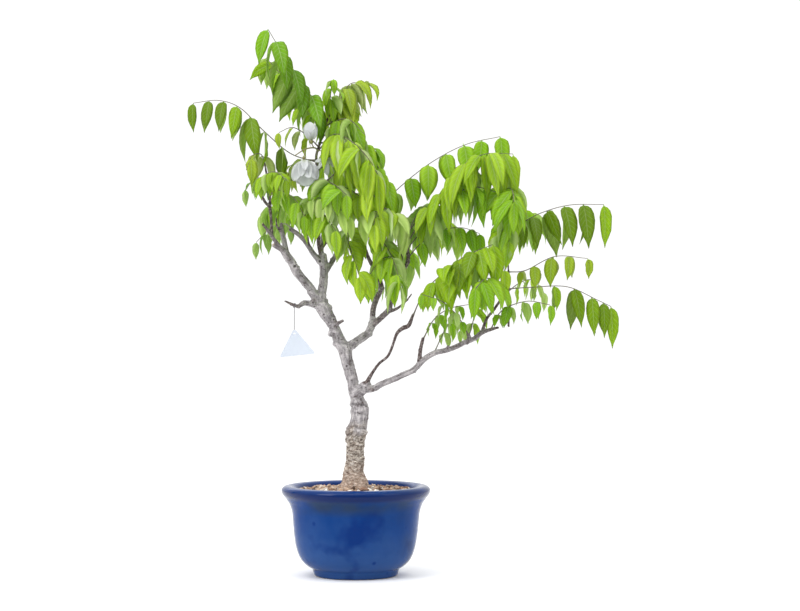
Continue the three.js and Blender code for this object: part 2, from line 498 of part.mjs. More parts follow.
// A bloom is a broad banner with two wings and a keel in front of it, joined at its foot
function bloomSolid([, foot, aim, length, width]) {
  const dir = point(aim).normalize();
  const face = new THREE.Vector3(0, -1, 0);
  face.addScaledVector(dir, -face.dot(dir)).normalize();
  const root = point(foot).addScaledVector(dir, CALYX_R + GAP + BLOOM_BASE_R);
  const petal = (turn, tilt, share, broad) => {
    const axis = new THREE.Vector3().crossVectors(face, dir);
    const aimed = dir.clone().applyAxisAngle(face, turn).applyAxisAngle(axis, tilt);
    const front = face.clone().applyAxisAngle(axis, tilt);
    front.addScaledVector(aimed, -front.dot(aimed)).normalize();
    return bladeSolid({ root, dir: aimed, face: front, length: length * share, width: width * broad, bend: 0.1 },
      PETAL_STATIONS);
  };
  const banner = petal(0, 0, 1, 1);
  const wings = [0.5, -0.5].map((turn) => petal(turn, -0.45, 0.72, 0.42));
  const keel = petal(0, -0.75, 0.62, 0.36);
  const base = beadSolid(BLOOM_BASE_R, root, dir);
  return wasm.Manifold.union([base, banner, ...wings, keel]).simplify(PETAL_SMOOTH);
}

const roundOf = (radius, sides) => Array.from({ length: sides }, (_, k) => (
  new THREE.Vector2(radius, 0).rotateAround(new THREE.Vector2(), 2 * Math.PI * k / sides)));

// Tag, its thread and the loop of thread round the twig
function tieGeometry() {
  const centreR = TIE.twigR + GAP + THREAD_D / 2 + 0.1;
  const section = roundOf(THREAD_D / 2, 5).map((p) => p.add(new THREE.Vector2(centreR, 0)));
  const loop = new THREE.LatheGeometry([...section, section[0]], 10);
  loop.applyQuaternion(new THREE.Quaternion().setFromUnitVectors(new THREE.Vector3(0, 1, 0),
    point(TIE.along).normalize()));
  loop.translate(...TIE.at);
  return { loop, bottom: TIE.at[2] - centreR - THREAD_D / 2 - GAP };
}

function threadGeometry(top) {
  const [x, y] = TIE.at;
  const path = new THREE.LineCurve3(new THREE.Vector3(x, y, top), new THREE.Vector3(x, y, top - TIE.drop));
  return new THREE.ExtrudeGeometry(new THREE.Shape(roundOf(THREAD_D / 2, 8)), { steps: 11, extrudePath: path });
}

function tagGeometry(top) {
  const shape = new THREE.Shape(TAG_CORNERS.map(([x, z]) => new THREE.Vector2(x, z)));
  shape.holes.push(new THREE.Path(roundOf(TAG_EYE_R, 8).map((p) => p.add(new THREE.Vector2(0, -4.5)))));
  const geometry = new THREE.ExtrudeGeometry(shape, { depth: TAG_THICK, bevelEnabled: false });
  geometry.rotateX(Math.PI / 2);
  geometry.translate(TIE.at[0], TIE.at[1] + TAG_THICK / 2, top);
  return geometry;
}

// The triangles of one leaflet, raised from a four-cornered face of the stalk. The corners are
// turned until the two that start its left edge lie to the left of its midrib
function raiseBlade(blade, quad, positions, faces) {
  const put = (p) => positions.push(p.x, p.y, p.z) / 3 - 1;
  const across = new THREE.Vector3().crossVectors(blade.face, blade.dir);
  const spots = quad.map((id) => new THREE.Vector3().fromArray(positions, 3 * id));
  const edges = spots.map((p, i) => p.clone().lerp(spots[(i + 1) % 4], 0.5).sub(blade.root));
  const match = (turn) => (edges[(turn + 2) % 4].dot(across) - edges[turn].dot(across)
    - edges[(turn + 1) % 4].dot(blade.face));
  const turn = [0, 1, 2, 3].reduce((best, i) => (match(i) > match(best) ? i : best), 0);
  const [a, b, c, d] = [0, 1, 2, 3].map((i) => quad[(turn + i) % 4]);
  const putClear = (p) => {
    const out = p.clone().sub(blade.root).dot(blade.outward);
    return put(p.addScaledVector(blade.outward, Math.max(0, LEAST_OUTWARD - out)));
  };
  const loops = BLADE_STATIONS.map(([s, w]) => {
    const mid = bladePoint(blade, s);
    const half = 0.5 * blade.width * w;
    return [
      putClear(mid.clone().addScaledVector(across, -half)),
      putClear(mid.clone().addScaledVector(blade.face, -BLADE_KEEL)),
      putClear(mid.clone().addScaledVector(across, half)),
    ];
  });
  const [left, keel, right] = loops[0];
  faces.push(a, b, left, b, keel, left, b, c, keel, c, d, right, c, right, keel);
  const above = (i) => spots[(turn + i) % 4].dot(blade.face);
  if (above(3) > above(0)) faces.push(d, a, left, d, left, right);
  else faces.push(a, left, right, d, a, right);
  for (let r = 0; r + 1 < loops.length; r += 1) {
    for (let k = 0; k < 3; k += 1) {
      const next = (k + 1) % 3;
      const corner = loops[r + 1][next];
      faces.push(loops[r][k], loops[r][next], corner, loops[r][k], corner, loops[r + 1][k]);
    }
  }
  const last = loops[loops.length - 1];
  const tip = putClear(bladePoint(blade, 1));
  for (let k = 0; k < 3; k += 1) faces.push(last[k], last[(k + 1) % 3], tip);
}

// One frond as one skin: a four-sided stalk whose side faces rise into leaflets at its nodes
function frondSolid(frond, blades, woodSkin) {
  const positions = [];
  const faces = [];
  const put = (p) => positions.push(p.x, p.y, p.z) / 3 - 1;
  const frames = stalkFrames(frond);
  const rings = frames.filter((frame) => frame.kind === 'ring').map(({ t, centre, side, above, half }) => ({
    t,
    ids: STALK_CORNERS.map(([x, z]) => (
      put(centre.clone().addScaledVector(side, x * half).addScaledVector(above, z * half)))),
  }));
  const growsAt = (from, to, hand) => blades.find((blade) => (
    blade.hand === hand && blade.frame.t > from && blade.frame.t < to));
  const start = rings[0].ids;
  faces.push(start[0], start[2], start[1], start[0], start[3], start[2]);
  for (let r = 0; r + 1 < rings.length; r += 1) {
    const [near, far] = [rings[r].ids, rings[r + 1].ids];
    for (let k = 0; k < 4; k += 1) {
      const next = (k + 1) % 4;
      const blade = k % 2 ? undefined : growsAt(rings[r].t, rings[r + 1].t, k ? -1 : 1);
      if (!blade) {
        faces.push(near[k], near[next], far[next], near[k], far[next], far[k]);
      } else if (k === 0) {
        raiseBlade(blade, [near[0], near[1], far[1], far[0]], positions, faces);
      } else {
        raiseBlade(blade, [far[3], far[2], near[2], near[3]], positions, faces);
      }
    }
  }
  const end = rings[rings.length - 1].ids;
  const tip = blades.find((blade) => blade.hand === 0);
  if (tip) raiseBlade(tip, end, positions, faces);
  else faces.push(end[0], end[1], end[2], end[0], end[2], end[3]);
  const geometry = new THREE.BufferGeometry();
  geometry.setAttribute('position', new THREE.Float32BufferAttribute(positions, 3));
  geometry.setIndex(faces);
  const whole = solidOf(geometry).subtract(woodSkin);
  return whole.decompose().sort((p, q) => q.volume() - p.volume())[0];
}

// Colours
const material = (color, roughness) => new THREE.MeshStandardMaterial({ color, roughness, metalness: 0 });
const LEAF_COLOURS = { bright: '#7FB01F', mid: '#669C18', dark: '#467D12', olive: '#8C9A22', pale: '#A9CC7A' };

const group = new THREE.Group();
function addPiece(name, geometry, look) {
  const mesh = new THREE.Mesh(geometry, look);
  mesh.name = name;
  group.add(mesh);
}

const wood = woodSolid(0);
const woodSkin = woodSolid(GAP + 0.05);
addPiece('pot', geometryOf(solidOf(potGeometry())), material('#2A4F92', 0.15));
addPiece('soil', geometryOf(soilSolid(woodSkin)), material('#8E745C', 0.95));
addPiece('wood', geometryOf(wood), material('#A79B98', 0.8));

const taken = stalkSpots();
FRONDS.forEach((frond, i) => {
  const blades = growLeaflets(frond, 1000 + i, taken);
  const solid = frondSolid(frond, blades, woodSkin);
  addPiece(`frond_${frond[0]}`, geometryOf(solid), material(LEAF_COLOURS[frond[1]], 0.55));
});

addPiece('raceme_stalk', geometryOf(racemeSolid(woodSkin)), material('#7C8A3A', 0.7));
BLOOMS.forEach((bloom) => {
  addPiece(`bloom_${bloom[0]}`, geometryOf(bloomSolid(bloom)), material('#F1F3EC', 0.6));
});
const tie = tieGeometry();
addPiece('tag_loop', tie.loop, material('#8F8C88', 0.9));
addPiece('tag_thread', threadGeometry(tie.bottom), material('#8F8C88', 0.9));
addPiece('tag', tagGeometry(tie.bottom - TIE.drop - GAP), material('#F7F8FA', 0.8));

const bounds = new THREE.Box3().setFromObject(group);
const middle = bounds.getCenter(new THREE.Vector3());
group.position.set(-middle.x, -middle.y, -bounds.min.z);

export default group;
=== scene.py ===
"""Wisteria bonsai in a round glazed pot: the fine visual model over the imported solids.

The file is laid out as a Blender add-on and run as a script. Positions in the lists are in
millimetres from the pot's axis at the foot, +Z up, +X to the right and -Y to the front.
"""

import math

import bpy
import numpy as np
from mathutils import Matrix, Vector, kdtree, noise


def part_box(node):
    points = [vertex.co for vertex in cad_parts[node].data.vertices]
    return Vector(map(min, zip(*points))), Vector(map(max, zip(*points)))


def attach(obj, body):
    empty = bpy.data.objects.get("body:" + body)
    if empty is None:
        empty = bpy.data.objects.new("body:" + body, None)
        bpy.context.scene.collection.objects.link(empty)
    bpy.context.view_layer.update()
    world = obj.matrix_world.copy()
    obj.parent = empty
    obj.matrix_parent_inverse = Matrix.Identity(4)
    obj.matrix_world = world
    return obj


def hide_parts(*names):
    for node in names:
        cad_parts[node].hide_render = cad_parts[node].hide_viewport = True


bl_info = {
    "name": "Wisteria bonsai",
    "version": (1, 0, 0),
    "blender": (4, 5, 0),
    "location": "3D View > Sidebar > Bonsai",
    "description": "Builds the pot, grit, bark, leaves, flowers and tag of a wisteria bonsai",
    "category": "Object",
}

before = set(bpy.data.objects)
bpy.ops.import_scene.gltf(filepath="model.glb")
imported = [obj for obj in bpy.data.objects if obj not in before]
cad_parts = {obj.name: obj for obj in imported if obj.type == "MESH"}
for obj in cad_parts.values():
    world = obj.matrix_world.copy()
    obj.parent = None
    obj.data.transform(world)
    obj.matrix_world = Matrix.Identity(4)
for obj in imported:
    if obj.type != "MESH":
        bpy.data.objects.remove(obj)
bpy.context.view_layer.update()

MM = 0.001
POT_LOW, POT_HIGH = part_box("pot")
AXIS = np.array([(POT_LOW.x + POT_HIGH.x) / 2, (POT_LOW.y + POT_HIGH.y) / 2, 0.0])
UP = np.array([0.0, 0.0, 1.0])

# The view of the photograph
PHOTO_WIDTH = 800
CAMERA_DISTANCE = 2700
CAMERA_HEIGHT = 350
CAMERA_RIGHT = 62.5
FOCAL_PIXELS = 1901
TILT_UP = math.radians(0.68)

# Sizes that the solids share
GAP = 0.3
STALK_HALF = 1.25
STALK_TIP_HALF = 0.85
STALK_CORNERS = [[1, 0.6], [0.35, -1]]
STALK_STEPS = 36
NODE_LENGTH = 2.6
MOST_DROOP = 1.36
BARE_STALK = 0.26
BLADE_STATIONS = [(0.27, 1), (0.66, 0.56)]
SPOT_CLEAR = 7.5
STALK_CLEAR = 5
WOOD_CLEAR = 4
BLOOM_CLEAR = 9
FIRST_SEED = 1000
CALYX_R = 2.6
THREAD_D = 0.9
LOOP_R = 2.95
TIE = {"at": [-86, -28, 382], "along": [-9.5, -6, 3.5], "drop": 31}
TAG_CORNERS = [[-2, 0], [2, 0], [28.5, -31], [27.5, -33], [-18.5, -38], [-20, -36.5]]
TAG_EYE_R = 1.3
TAG_EYE_DOWN = 4.5

# What the leaflets that fill the gaps keep clear of each other, the wood and the flowers
FILL_CLEAR = 4.2
FILL_WOOD_CLEAR = 2
FILL_BLOOM_CLEAR = 7

# Sizes of the finer pieces: radius that the grit fills, radius of the trunk's foot in it, of a bud
# and of the thread's knot, and the height in which its strands wind round each other once
GRIT_R = 82.3
FOOT_R = 20
BUD_R = 2
KNOT_R = 0.8
STRAND_TURN = 1.9
# How much slimmer young wood counts than it is, and the least radius of a stem with growth rings
YOUNG_SLIMMER = 1.5
RING_LEAST_GIRTH = 6.5
# How far the floor reaches in front of the pot, in metres
FLOOR_FRONT = 0.42

# Seeds of the finer pieces
FILL_SEED = 5000
LEAF_SEED = 100
BLOOM_SEED = 40
GRIT_SEED = 7
WART_SEED = 3

# Ways a leaflet is tried until one is free: more swing along the stalk, change of droop
SWINGS = [(0, 0), (0.25, 0), (-0.25, 0), (0, -0.3), (0, 0.3), (0.45, -0.2), (-0.45, -0.2),
    (0.45, 0.3), (-0.45, 0.3), (0, -0.7), (0.8, -0.4), (-0.8, -0.4)]

# Branches: points along the centre line as [x, y, z, radius]
BRANCHES = {
    "trunk": [[1, 0, 94, 17], [1, 0, 123, 20.5], [1, 0, 133, 18.5], [-2, 0, 148, 14.3],
        [-1, 1, 162, 13.4], [-1, 2, 177, 12.8], [0, 3, 191, 13], [1, 4, 204, 15.6],
        [3, 4, 212, 13.2], [5, 5, 222, 12.4], [6, 6, 233, 12.6], [5, 6, 240, 11.8],
        [2, 6, 248, 9.6], [-3, 5, 262, 8.2], [-5, 3, 276, 8.1], [-9, 2, 290, 8.5],
        [-13, 0, 305, 8.9], [-16, -1, 319, 9.9], [-24, -2, 333, 8.9], [-29, -3, 347, 7.6],
        [-36, -4, 361, 8.7], [-45, -4, 376, 10.6], [-51, -4, 388, 9.6]],
    "upright": [[-51, -4, 385, 8.5], [-48, -3, 404, 6.6], [-46, 0, 418, 6.2], [-46, 3, 440, 6],
        [-47, 5, 456, 4.6]],
    "leader": [[-48, 5, 448, 3.4], [-53, 3, 467, 2.8], [-53, 0, 482, 2.6], [-50, -3, 496, 2.6],
        [-48, -5, 510, 2.5], [-54, -8, 531, 2.3], [-59, -12, 559, 2.2], [-56, -12, 580, 2.1],
        [-56, -10, 595, 2.1], [-51, -8, 612, 2], [-47, -6, 628, 2], [-41, -5, 645, 1.8],
        [-35, -5, 660, 1.5]],
    "upper_left": [[-47, 3, 440, 4.6], [-60, 0, 455, 3.9], [-72, -6, 473, 3.5], [-82, -9, 483, 3.4],
        [-94, -12, 491, 3.1]],
    "upper_left_twig": [[-66, -4, 464, 2], [-68, -7, 477, 1.6], [-70, -12, 497, 1.2]],
    "cut_top": [[-47, 4, 446, 4], [-50, 10, 464, 3.5], [-49, 14, 476, 3.4], [-47, 16, 484, 3.3]],
    "cut_top_fork": [[-49, 10, 464, 2.4], [-42, 16, 474, 2], [-35, 24, 490, 1.7],
        [-35, 30, 506, 1.3]],
    "right_stub": [[-46, 2, 426, 4.2], [-33, 12, 447, 3.7], [-25, 18, 466, 3.4]],
    "left_limb": [[-53, -4, 387, 7.8], [-65, -10, 407, 6.4], [-74, -16, 418, 6.2],
        [-83, -20, 429, 6.3], [-89, -24, 441, 6.1], [-98, -28, 454, 5.8], [-102, -30, 461, 4.6]],
    "left_stub": [[-100, -29, 458, 3.6], [-116, -34, 467, 3]],
    "left_cut_twig": [[-101, -30, 458, 3.2], [-111, -36, 470, 2.6], [-119, -40, 482, 2.3],
        [-130, -44, 496, 1.7]],
    "left_long_twig": [[-117, -39, 477, 2.3], [-118, -38, 501, 2.3], [-120, -36, 520, 2.6],
        [-120, -34, 532, 2], [-124, -28, 558, 1.8], [-128, -22, 581, 1.5]],
    "left_side_twig": [[-120, -36, 519, 2.2], [-128, -42, 529, 2.2], [-136, -46, 545, 1.6]],
    "left_inner": [[-97, -27, 454, 4.4], [-101, -24, 474, 3.8], [-104, -22, 487, 3.2],
        [-105, -20, 497, 2.8]],
    "left_inner_twig": [[-103, -22, 482, 1.9], [-111, -24, 494, 1.6], [-112, -24, 506, 1.2]],
    "tag_twig": [[-53, -5, 381, 4], [-67, -14, 385, 3.5], [-74, -19, 385, 3.2],
        [-80, -24, 381, 2.5], [-86, -28, 382, 2.1], [-99, -36, 388, 1.2]],
    "mid_limb": [[-17, -1, 319, 8], [-2, 6, 329, 6.2], [8, 11, 336, 6], [17, 15, 343, 5.8],
        [22, 18, 354, 5.4], [24, 20, 363, 4.6]],
    "mid_upright": [[23, 19, 357, 4.4], [24, 22, 376, 4.2], [28, 24, 390, 4.1], [34, 26, 403, 3.9],
        [35, 28, 413, 3.7], [31, 30, 425, 3.4], [24, 31, 438, 3.2], [17, 32, 451, 2.9],
        [12, 32, 465, 2.6], [6, 32, 476, 2.1]],
    "mid_right": [[20, 17, 351, 4.6], [31, 16, 361, 4.3], [40, 13, 369, 4.2], [47, 10, 377, 4.2],
        [50, 9, 394, 3.4], [54, 8, 416, 3.3], [60, 6, 428, 3.2], [70, 4, 437, 3.1], [74, 2, 448, 3],
        [73, 0, 462, 2.8], [70, 0, 481, 2.2]],
    "mid_right_twig": [[45, 10, 374, 2.8], [57, 4, 377, 1.8], [70, -4, 387, 1.2],
        [79, -10, 398, 1]],
    "right_cut": [[60, 6, 428, 2.6], [64, 12, 444, 2.4], [65, 18, 459, 2], [68, 20, 466, 1.6]],
    "right_junction": [[-4, 4, 256, 7.5], [7, -8, 262, 8.5], [14, -14, 268, 7.8],
        [20, -17, 270, 5.4]],
    "twisted_twig": [[13, -13, 267, 3.6], [20, -20, 281, 2.6], [27, -24, 292, 2],
        [34, -27, 301, 1.9], [43, -30, 308, 1.9], [48, -33, 315, 1.9], [53, -36, 328, 1.9],
        [58, -38, 342, 2.2], [65, -40, 349, 2.8], [74, -42, 353, 2.8], [78, -44, 361, 2.4],
        [81, -45, 370, 1.6]],
    "right_limb": [[12, -12, 264, 5.8], [26, -20, 265, 4.7], [36, -25, 271, 4.5],
        [53, -30, 278, 4.4], [70, -34, 286, 4.3], [81, -36, 291, 4.3], [90, -38, 300, 4.2],
        [100, -40, 309, 4], [113, -41, 316, 3.8], [127, -42, 319, 3.7], [141, -42, 324, 3.6],
        [153, -42, 330, 3.6], [166, -40, 335, 3.5], [176, -38, 343, 3.4], [186, -36, 347, 2.9],
        [201, -32, 351, 1.7]],
    "right_spur": [[89, -38, 297, 3.2], [91, -44, 319, 2.8], [95, -48, 337, 2.4]],
    "outer_spur": [[155, -42, 328, 2.8], [159, -46, 336, 2.6], [157, -49, 343, 2]],
    "outer_up": [[176, -38, 341, 2.6], [184, -36, 363, 2.2], [193, -33, 374, 2.1],
        [200, -30, 384, 2.1], [207, -28, 394, 2.1], [215, -25, 403, 2.2], [215, -20, 439, 1.4],
        [211, -16, 460, 1.3], [208, -12, 481, 1.3], [207, -8, 517, 1.2], [204, -5, 539, 1]],
    "outer_down": [[214, -25, 403, 1.8], [216, -28, 389, 1.8], [216, -30, 375, 1.8],
        [215, -31, 361, 1.9], [215, -32, 351, 1.4]],
}
# Old pruning knobs on the bark: [x, y, z, radius]
KNOBS = [[-38, -4, 341, 6], [-10, -3, 203, 7], [14, 8, 240, 6.5], [-4, -4, 331, 4.5],
    [22, 15, 340, 4.5], [-86, -27, 440, 5], [-57, -10, 383, 5.5], [11, -20, 260, 5.5],
    [48, 7, 384, 4], [170, -42, 335, 4]]
# Fronds: name, tone, pairs of leaflets, leaflet length and width, route of the stalk
FRONDS = [
    ["crown_left", "mid", 6, 58, 20, [[-42, -6, 642], [-53, -18, 663], [-74, -30, 693],
        [-101, -40, 733], [-122, -44, 768]]],
    ["crown_left_rear", "bright", 4, 46, 17, [[-48, -6, 622], [-69, 20, 665], [-96, 38, 701],
        [-131, 46, 741]]],
    ["left_arch", "bright", 6, 60, 23, [[-56, -12, 585], [-93, -20, 597], [-131, -32, 629],
        [-161, -42, 658], [-191, -48, 668], [-226, -50, 664]]],
    ["crown_right", "olive", 5, 50, 17, [[-40, -5, 648], [-24, 0, 672], [-9, 8, 698],
        [14, 24, 701]]],
    ["crown_tip", "mid", 3, 36, 15, [[-35, -5, 659], [-36, -15, 677], [-31, -30, 700]]],
    ["right_shoulder", "mid", 6, 54, 19, [[-44, -6, 636], [-21, 6, 649], [3, 12, 632], [25, 6, 591],
        [50, -8, 546]]],
    ["right_shoulder_rear", "dark", 4, 42, 16, [[-51, -8, 612], [-15, 20, 622], [14, 40, 614],
        [35, 50, 606]]],
    ["centre_front", "bright", 5, 64, 21, [[-55, -10, 599], [-31, -40, 621], [-7, -60, 611],
        [16, -72, 588], [32, -80, 562]]],
    ["long_right", "mid", 7, 46, 19, [[8, 32, 474], [25, 34, 514], [62, 26, 552], [108, 12, 587],
        [156, 0, 611], [204, -12, 621]]],
    ["right_fan", "bright", 7, 68, 22, [[70, 0, 479], [85, -12, 500], [116, -26, 536],
        [147, -38, 575], [181, -46, 593], [220, -50, 593]]],
    ["right_facing", "mid", 4, 54, 19, [[204, -5, 536], [213, -34, 546], [218, -66, 541],
        [219, -96, 523]]],
    ["far_right_upper", "bright", 5, 64, 23, [[208, -12, 486], [232, -20, 497], [261, -26, 512],
        [301, -28, 523], [349, -26, 524]]],
    ["far_right_mid", "olive", 4, 40, 17, [[215, -20, 429], [239, -34, 431], [279, -46, 450],
        [324, -52, 447]]],
    ["far_right_lower", "bright", 5, 56, 20, [[214, -24, 405], [250, 2, 408], [301, 14, 409],
        [343, 18, 391], [364, 18, 381]]],
    ["far_right_near", "mid", 4, 36, 16, [[189, -36, 347], [204, -58, 374], [237, -74, 387],
        [269, -82, 382]]],
    ["low_right", "bright", 6, 62, 25, [[81, -45, 368], [96, -58, 400], [121, -70, 425],
        [152, -80, 449], [190, -86, 465]]],
    ["spur_back", "mid", 4, 40, 16, [[95, -48, 335], [111, -24, 363], [134, -4, 378],
        [163, 10, 384]]],
    ["spur_front", "dark", 4, 44, 18, [[157, -49, 342], [144, -72, 364], [121, -92, 386],
        [93, -100, 396]]],
    ["outer_spur_up", "mid", 4, 38, 15, [[158, -46, 336], [166, -28, 364], [170, -12, 398],
        [190, 2, 418]]],
    ["pale_drape", "pale", 5, 42, 14, [[-70, -12, 496], [-70, -40, 521], [-51, -58, 531],
        [-29, -70, 520], [-6, -78, 503]]],
    ["left_low", "mid", 4, 42, 17, [[-121, -32, 538], [-103, -50, 542], [-82, -66, 527],
        [-70, -76, 505]]],
    ["centre_low", "bright", 4, 48, 22, [[6, 32, 475], [-7, 4, 492], [-12, -26, 479],
        [-4, -52, 453], [7, -68, 422]]],
    ["centre_right", "mid", 4, 46, 19, [[11, 32, 468], [23, 6, 485], [43, -30, 465], [57, -56, 433],
        [62, -70, 403]]],
    ["pale_centre", "pale", 4, 50, 20, [[70, 0, 475], [60, -22, 499], [43, -44, 513],
        [15, -62, 510]]],
    ["dark_right", "dark", 4, 46, 18, [[72, 2, 471], [81, 28, 502], [97, 50, 526], [121, 70, 528]]],
    ["low_middle", "dark", 3, 38, 15, [[55, 8, 420], [45, 34, 426], [36, 56, 420], [27, 74, 405]]],
    ["left_tip", "olive", 3, 42, 18, [[-128, -22, 580], [-132, -42, 593], [-143, -62, 589],
        [-150, -78, 568]]],
    ["left_inner", "olive", 4, 42, 17, [[-56, -11, 588], [-75, 14, 590], [-96, 32, 583],
        [-117, 46, 572]]],
    ["centre_dark", "dark", 4, 44, 19, [[-59, -12, 559], [-45, -42, 556], [-29, -70, 549],
        [-11, -92, 533]]],
    ["rear_left", "mid", 5, 50, 19, [[-49, -5, 506], [-75, 44, 535], [-108, 94, 538],
        [-143, 138, 520]]],
    ["rear_upper", "bright", 5, 50, 19, [[-56, -12, 579], [-37, 36, 606], [-17, 84, 611],
        [0, 122, 590]]],
    ["rear_middle", "mid", 5, 52, 19, [[-54, -8, 528], [-39, 44, 561], [-29, 96, 571],
        [-24, 146, 557]]],
    ["rear_cut_limb", "dark", 4, 46, 18, [[-90, -11, 489], [-104, 34, 500], [-127, 76, 496],
        [-150, 110, 477]]],
    ["rear_right", "mid", 5, 52, 19, [[22, 31, 439], [42, 74, 464], [60, 118, 472],
        [75, 158, 455]]],
    ["rear_right_high", "bright", 5, 50, 18, [[72, 0, 462], [97, 48, 492], [124, 92, 509],
        [149, 128, 499]]],
    ["rear_far_right", "mid", 5, 50, 18, [[208, -12, 474], [227, 38, 508], [244, 84, 520],
        [261, 122, 504]]],
    ["rear_low_right", "mid", 4, 48, 18, [[110, -41, 315], [128, 0, 350], [143, 48, 364],
        [151, 94, 347]]],
    ["rear_outer", "bright", 4, 48, 18, [[207, -28, 394], [231, 18, 413], [254, 62, 420],
        [274, 98, 403]]],
    ["rear_left_twig", "dark", 4, 44, 17, [[-121, -32, 541], [-134, 14, 561], [-149, 58, 568],
        [-164, 92, 553]]],
    ["rear_crown", "olive", 4, 44, 16, [[-41, -5, 645], [-30, 36, 672], [-19, 72, 685],
        [-8, 100, 677]]],
    ["front_left", "bright", 4, 46, 18, [[-134, -46, 543], [-125, -78, 560], [-107, -108, 563],
        [-91, -134, 550]]],
    ["centre_mid", "mid", 5, 56, 20, [[-58, -12, 562], [-42, -2, 590], [-16, 2, 592], [10, 0, 576],
        [26, -8, 554]]],
    ["centre_hang", "bright", 5, 52, 19, [[-54, -8, 530], [-34, -34, 548], [-8, -44, 544],
        [15, -46, 524], [28, -48, 502]]],
    ["left_young", "olive", 4, 34, 14, [[-52, -9, 606], [-70, -34, 622], [-88, -50, 630],
        [-106, -58, 622]]],
    ["right_fan_low", "dark", 5, 46, 18, [[74, 2, 450], [92, -2, 470], [120, -8, 488],
        [150, -10, 492], [175, -8, 484]]],
    ["front_right", "mid", 4, 46, 18, [[209, -28, 395], [196, -64, 414], [180, -98, 418],
        [165, -126, 404]]],
]
# Blooms: name, foot, where it points, length and width
BLOOMS = [
    ["upper", [-61, -52, 609], [-0.05, -0.15, 1], 25, 20],
    ["lower", [-71, -58, 587], [0.05, -0.3, -1], 33, 28],
    ["side", [-41, -50, 588], [0.1, -0.2, -1], 22, 17],
]
# The flower stalk and its side stalks, as [x, y, z, radius]
RACEME = [
    [[-56, -11, 590, 1.3], [-54, -28, 600, 1.2], [-58, -46, 602, 1.1], [-70, -54, 599, 0.9],
        [-84, -56, 590, 0.7]],
    [[-58, -46, 602, 0.8], [-61, -52, 608, 0.8]],
    [[-70, -54, 599, 0.8], [-71, -58, 588, 0.8]],
    [[-54, -29, 600, 0.8], [-45, -42, 597, 0.8], [-41, -50, 589, 0.8]],
]

# Short dead spurs on the bark, and roots that run from the trunk's foot into the grit, as
# [x, y, z, radius]
SPURS = [
    [[-34, -6, 352, 4.2], [-25, -10, 357, 2.8], [-17, -12, 361, 2.0]],
    [[-10, -8, 200, 4], [-14, -11, 204, 2.4]],
    [[18, -22, 266, 3.2], [26, -28, 262, 1.8]],
    [[-60, -12, 384, 4], [-62, -15, 391, 2.0]],
    [[-83, -22, 430, 4.5], [-80, -27, 437, 2.6]],
    [[52, 7, 392, 3], [58, 4, 397, 1.9]],
    [[34, 24, 404, 3.4], [40, 20, 408, 1.8]],
    [[128, -44, 320, 3], [130, -48, 326, 1.6]],
]
ROOTS = [
    [[3, -9, 135, 5.5], [6, -15, 127, 5], [11, -21, 120, 3.6], [16, -27, 115, 2]],
    [[-5, -7, 137, 5.5], [-10, -12, 128, 5], [-16, -17, 120, 3.6], [-23, -22, 115, 2.2]],
    [[8, 0, 136, 5.5], [12, -2, 128, 4.8], [18, -3, 120, 3.6], [26, -4, 115, 2.2]],
    [[-6, 4, 137, 5.5], [-12, 7, 128, 5], [-18, 11, 120, 3.6], [-25, 16, 115, 2.2]],
    [[4, 8, 137, 5.5], [7, 13, 128, 5], [11, 19, 120, 3.6], [16, 27, 115, 2.2]],
]
# Eyes that old side shoots left on the front of the stems: across, height and radius
SCARS = [(-13, 296, 2.6), (-31, 362, 2.8), (-45, 369, 2.6), (-51, 445, 3), (-85, 437, 3.4),
    (3, 241, 2.4), (-5, 239, 2), (-1, 332, 2.6), (13, 272, 3), (-8, 205, 2.8), (-60, 386, 2.4),
    (-24, 336, 2), (-75, 423, 2.4), (60, 284, 1.8), (104, 313, 2), (141, 325, 1.8), (27, 356, 2.4),
    (34, 401, 2)]
# Limbs with brown young bark
YOUNG_WOOD = ["mid_upright", "mid_right", "twisted_twig", "right_spur", "outer_up", "leader",
    "left_long_twig"]
# Twigs that are stouter than their solids
STOUT = {"tag_twig": 1.2, "twisted_twig": 1.12, "mid_right_twig": 1.25, "left_cut_twig": 1.15,
    "outer_spur": 1.2}
# Growth rings round the trunk: height above the foot, and how far they stand out
RINGS = [(167, 0.5), (186, 0.6), (205, 1.3), (225, 0.6), (238, 1.2), (254, 0.5), (322, 0.8),
    (340, 0.5), (376, 0.9), (389, 0.6)]
# Branches that end in a saw cut
CUT_ENDS = ["right_stub", "left_stub", "left_cut_twig", "cut_top", "right_cut", "outer_spur",
    "outer_down"]

# More fronds, which fill the crown between the ones of the solids
SPRIGS = [
    ["hang_outer_high", "mid", 4, 44, 18, [[207, -8, 517], [213, -30, 524], [216, -46, 504],
        [214, -54, 470]]],
    ["hang_outer_low", "bright", 4, 44, 18, [[208, -12, 481], [200, -34, 486], [202, -48, 462],
        [208, -54, 430]]],
    ["hang_centre", "bright", 5, 50, 18, [[-40, -6, 560], [-14, -44, 576], [12, -70, 562],
        [28, -84, 530]]],
    ["hang_left", "mid", 5, 46, 17, [[-70, -12, 496], [-62, -44, 514], [-44, -66, 508],
        [-26, -80, 484]]],
    ["hang_right", "bright", 5, 46, 17, [[72, 0, 480], [50, -30, 512], [34, -58, 516],
        [26, -82, 492]]],
    ["fan_under", "mid", 6, 58, 20, [[72, 2, 470], [96, -20, 505], [130, -34, 533], [165, -44, 547],
        [196, -50, 540]]],
    ["crown_front", "mid", 5, 50, 18, [[-52, -8, 612], [-30, -22, 640], [-8, -34, 642],
        [14, -44, 620]]],
    ["crown_mid_rear", "bright", 5, 50, 18, [[-54, -8, 575], [-20, 24, 592], [18, 40, 588],
        [48, 46, 560]]],
    ["low_centre", "mid", 4, 46, 19, [[70, 4, 437], [56, -16, 450], [36, -36, 446],
        [20, -52, 424]]],
]
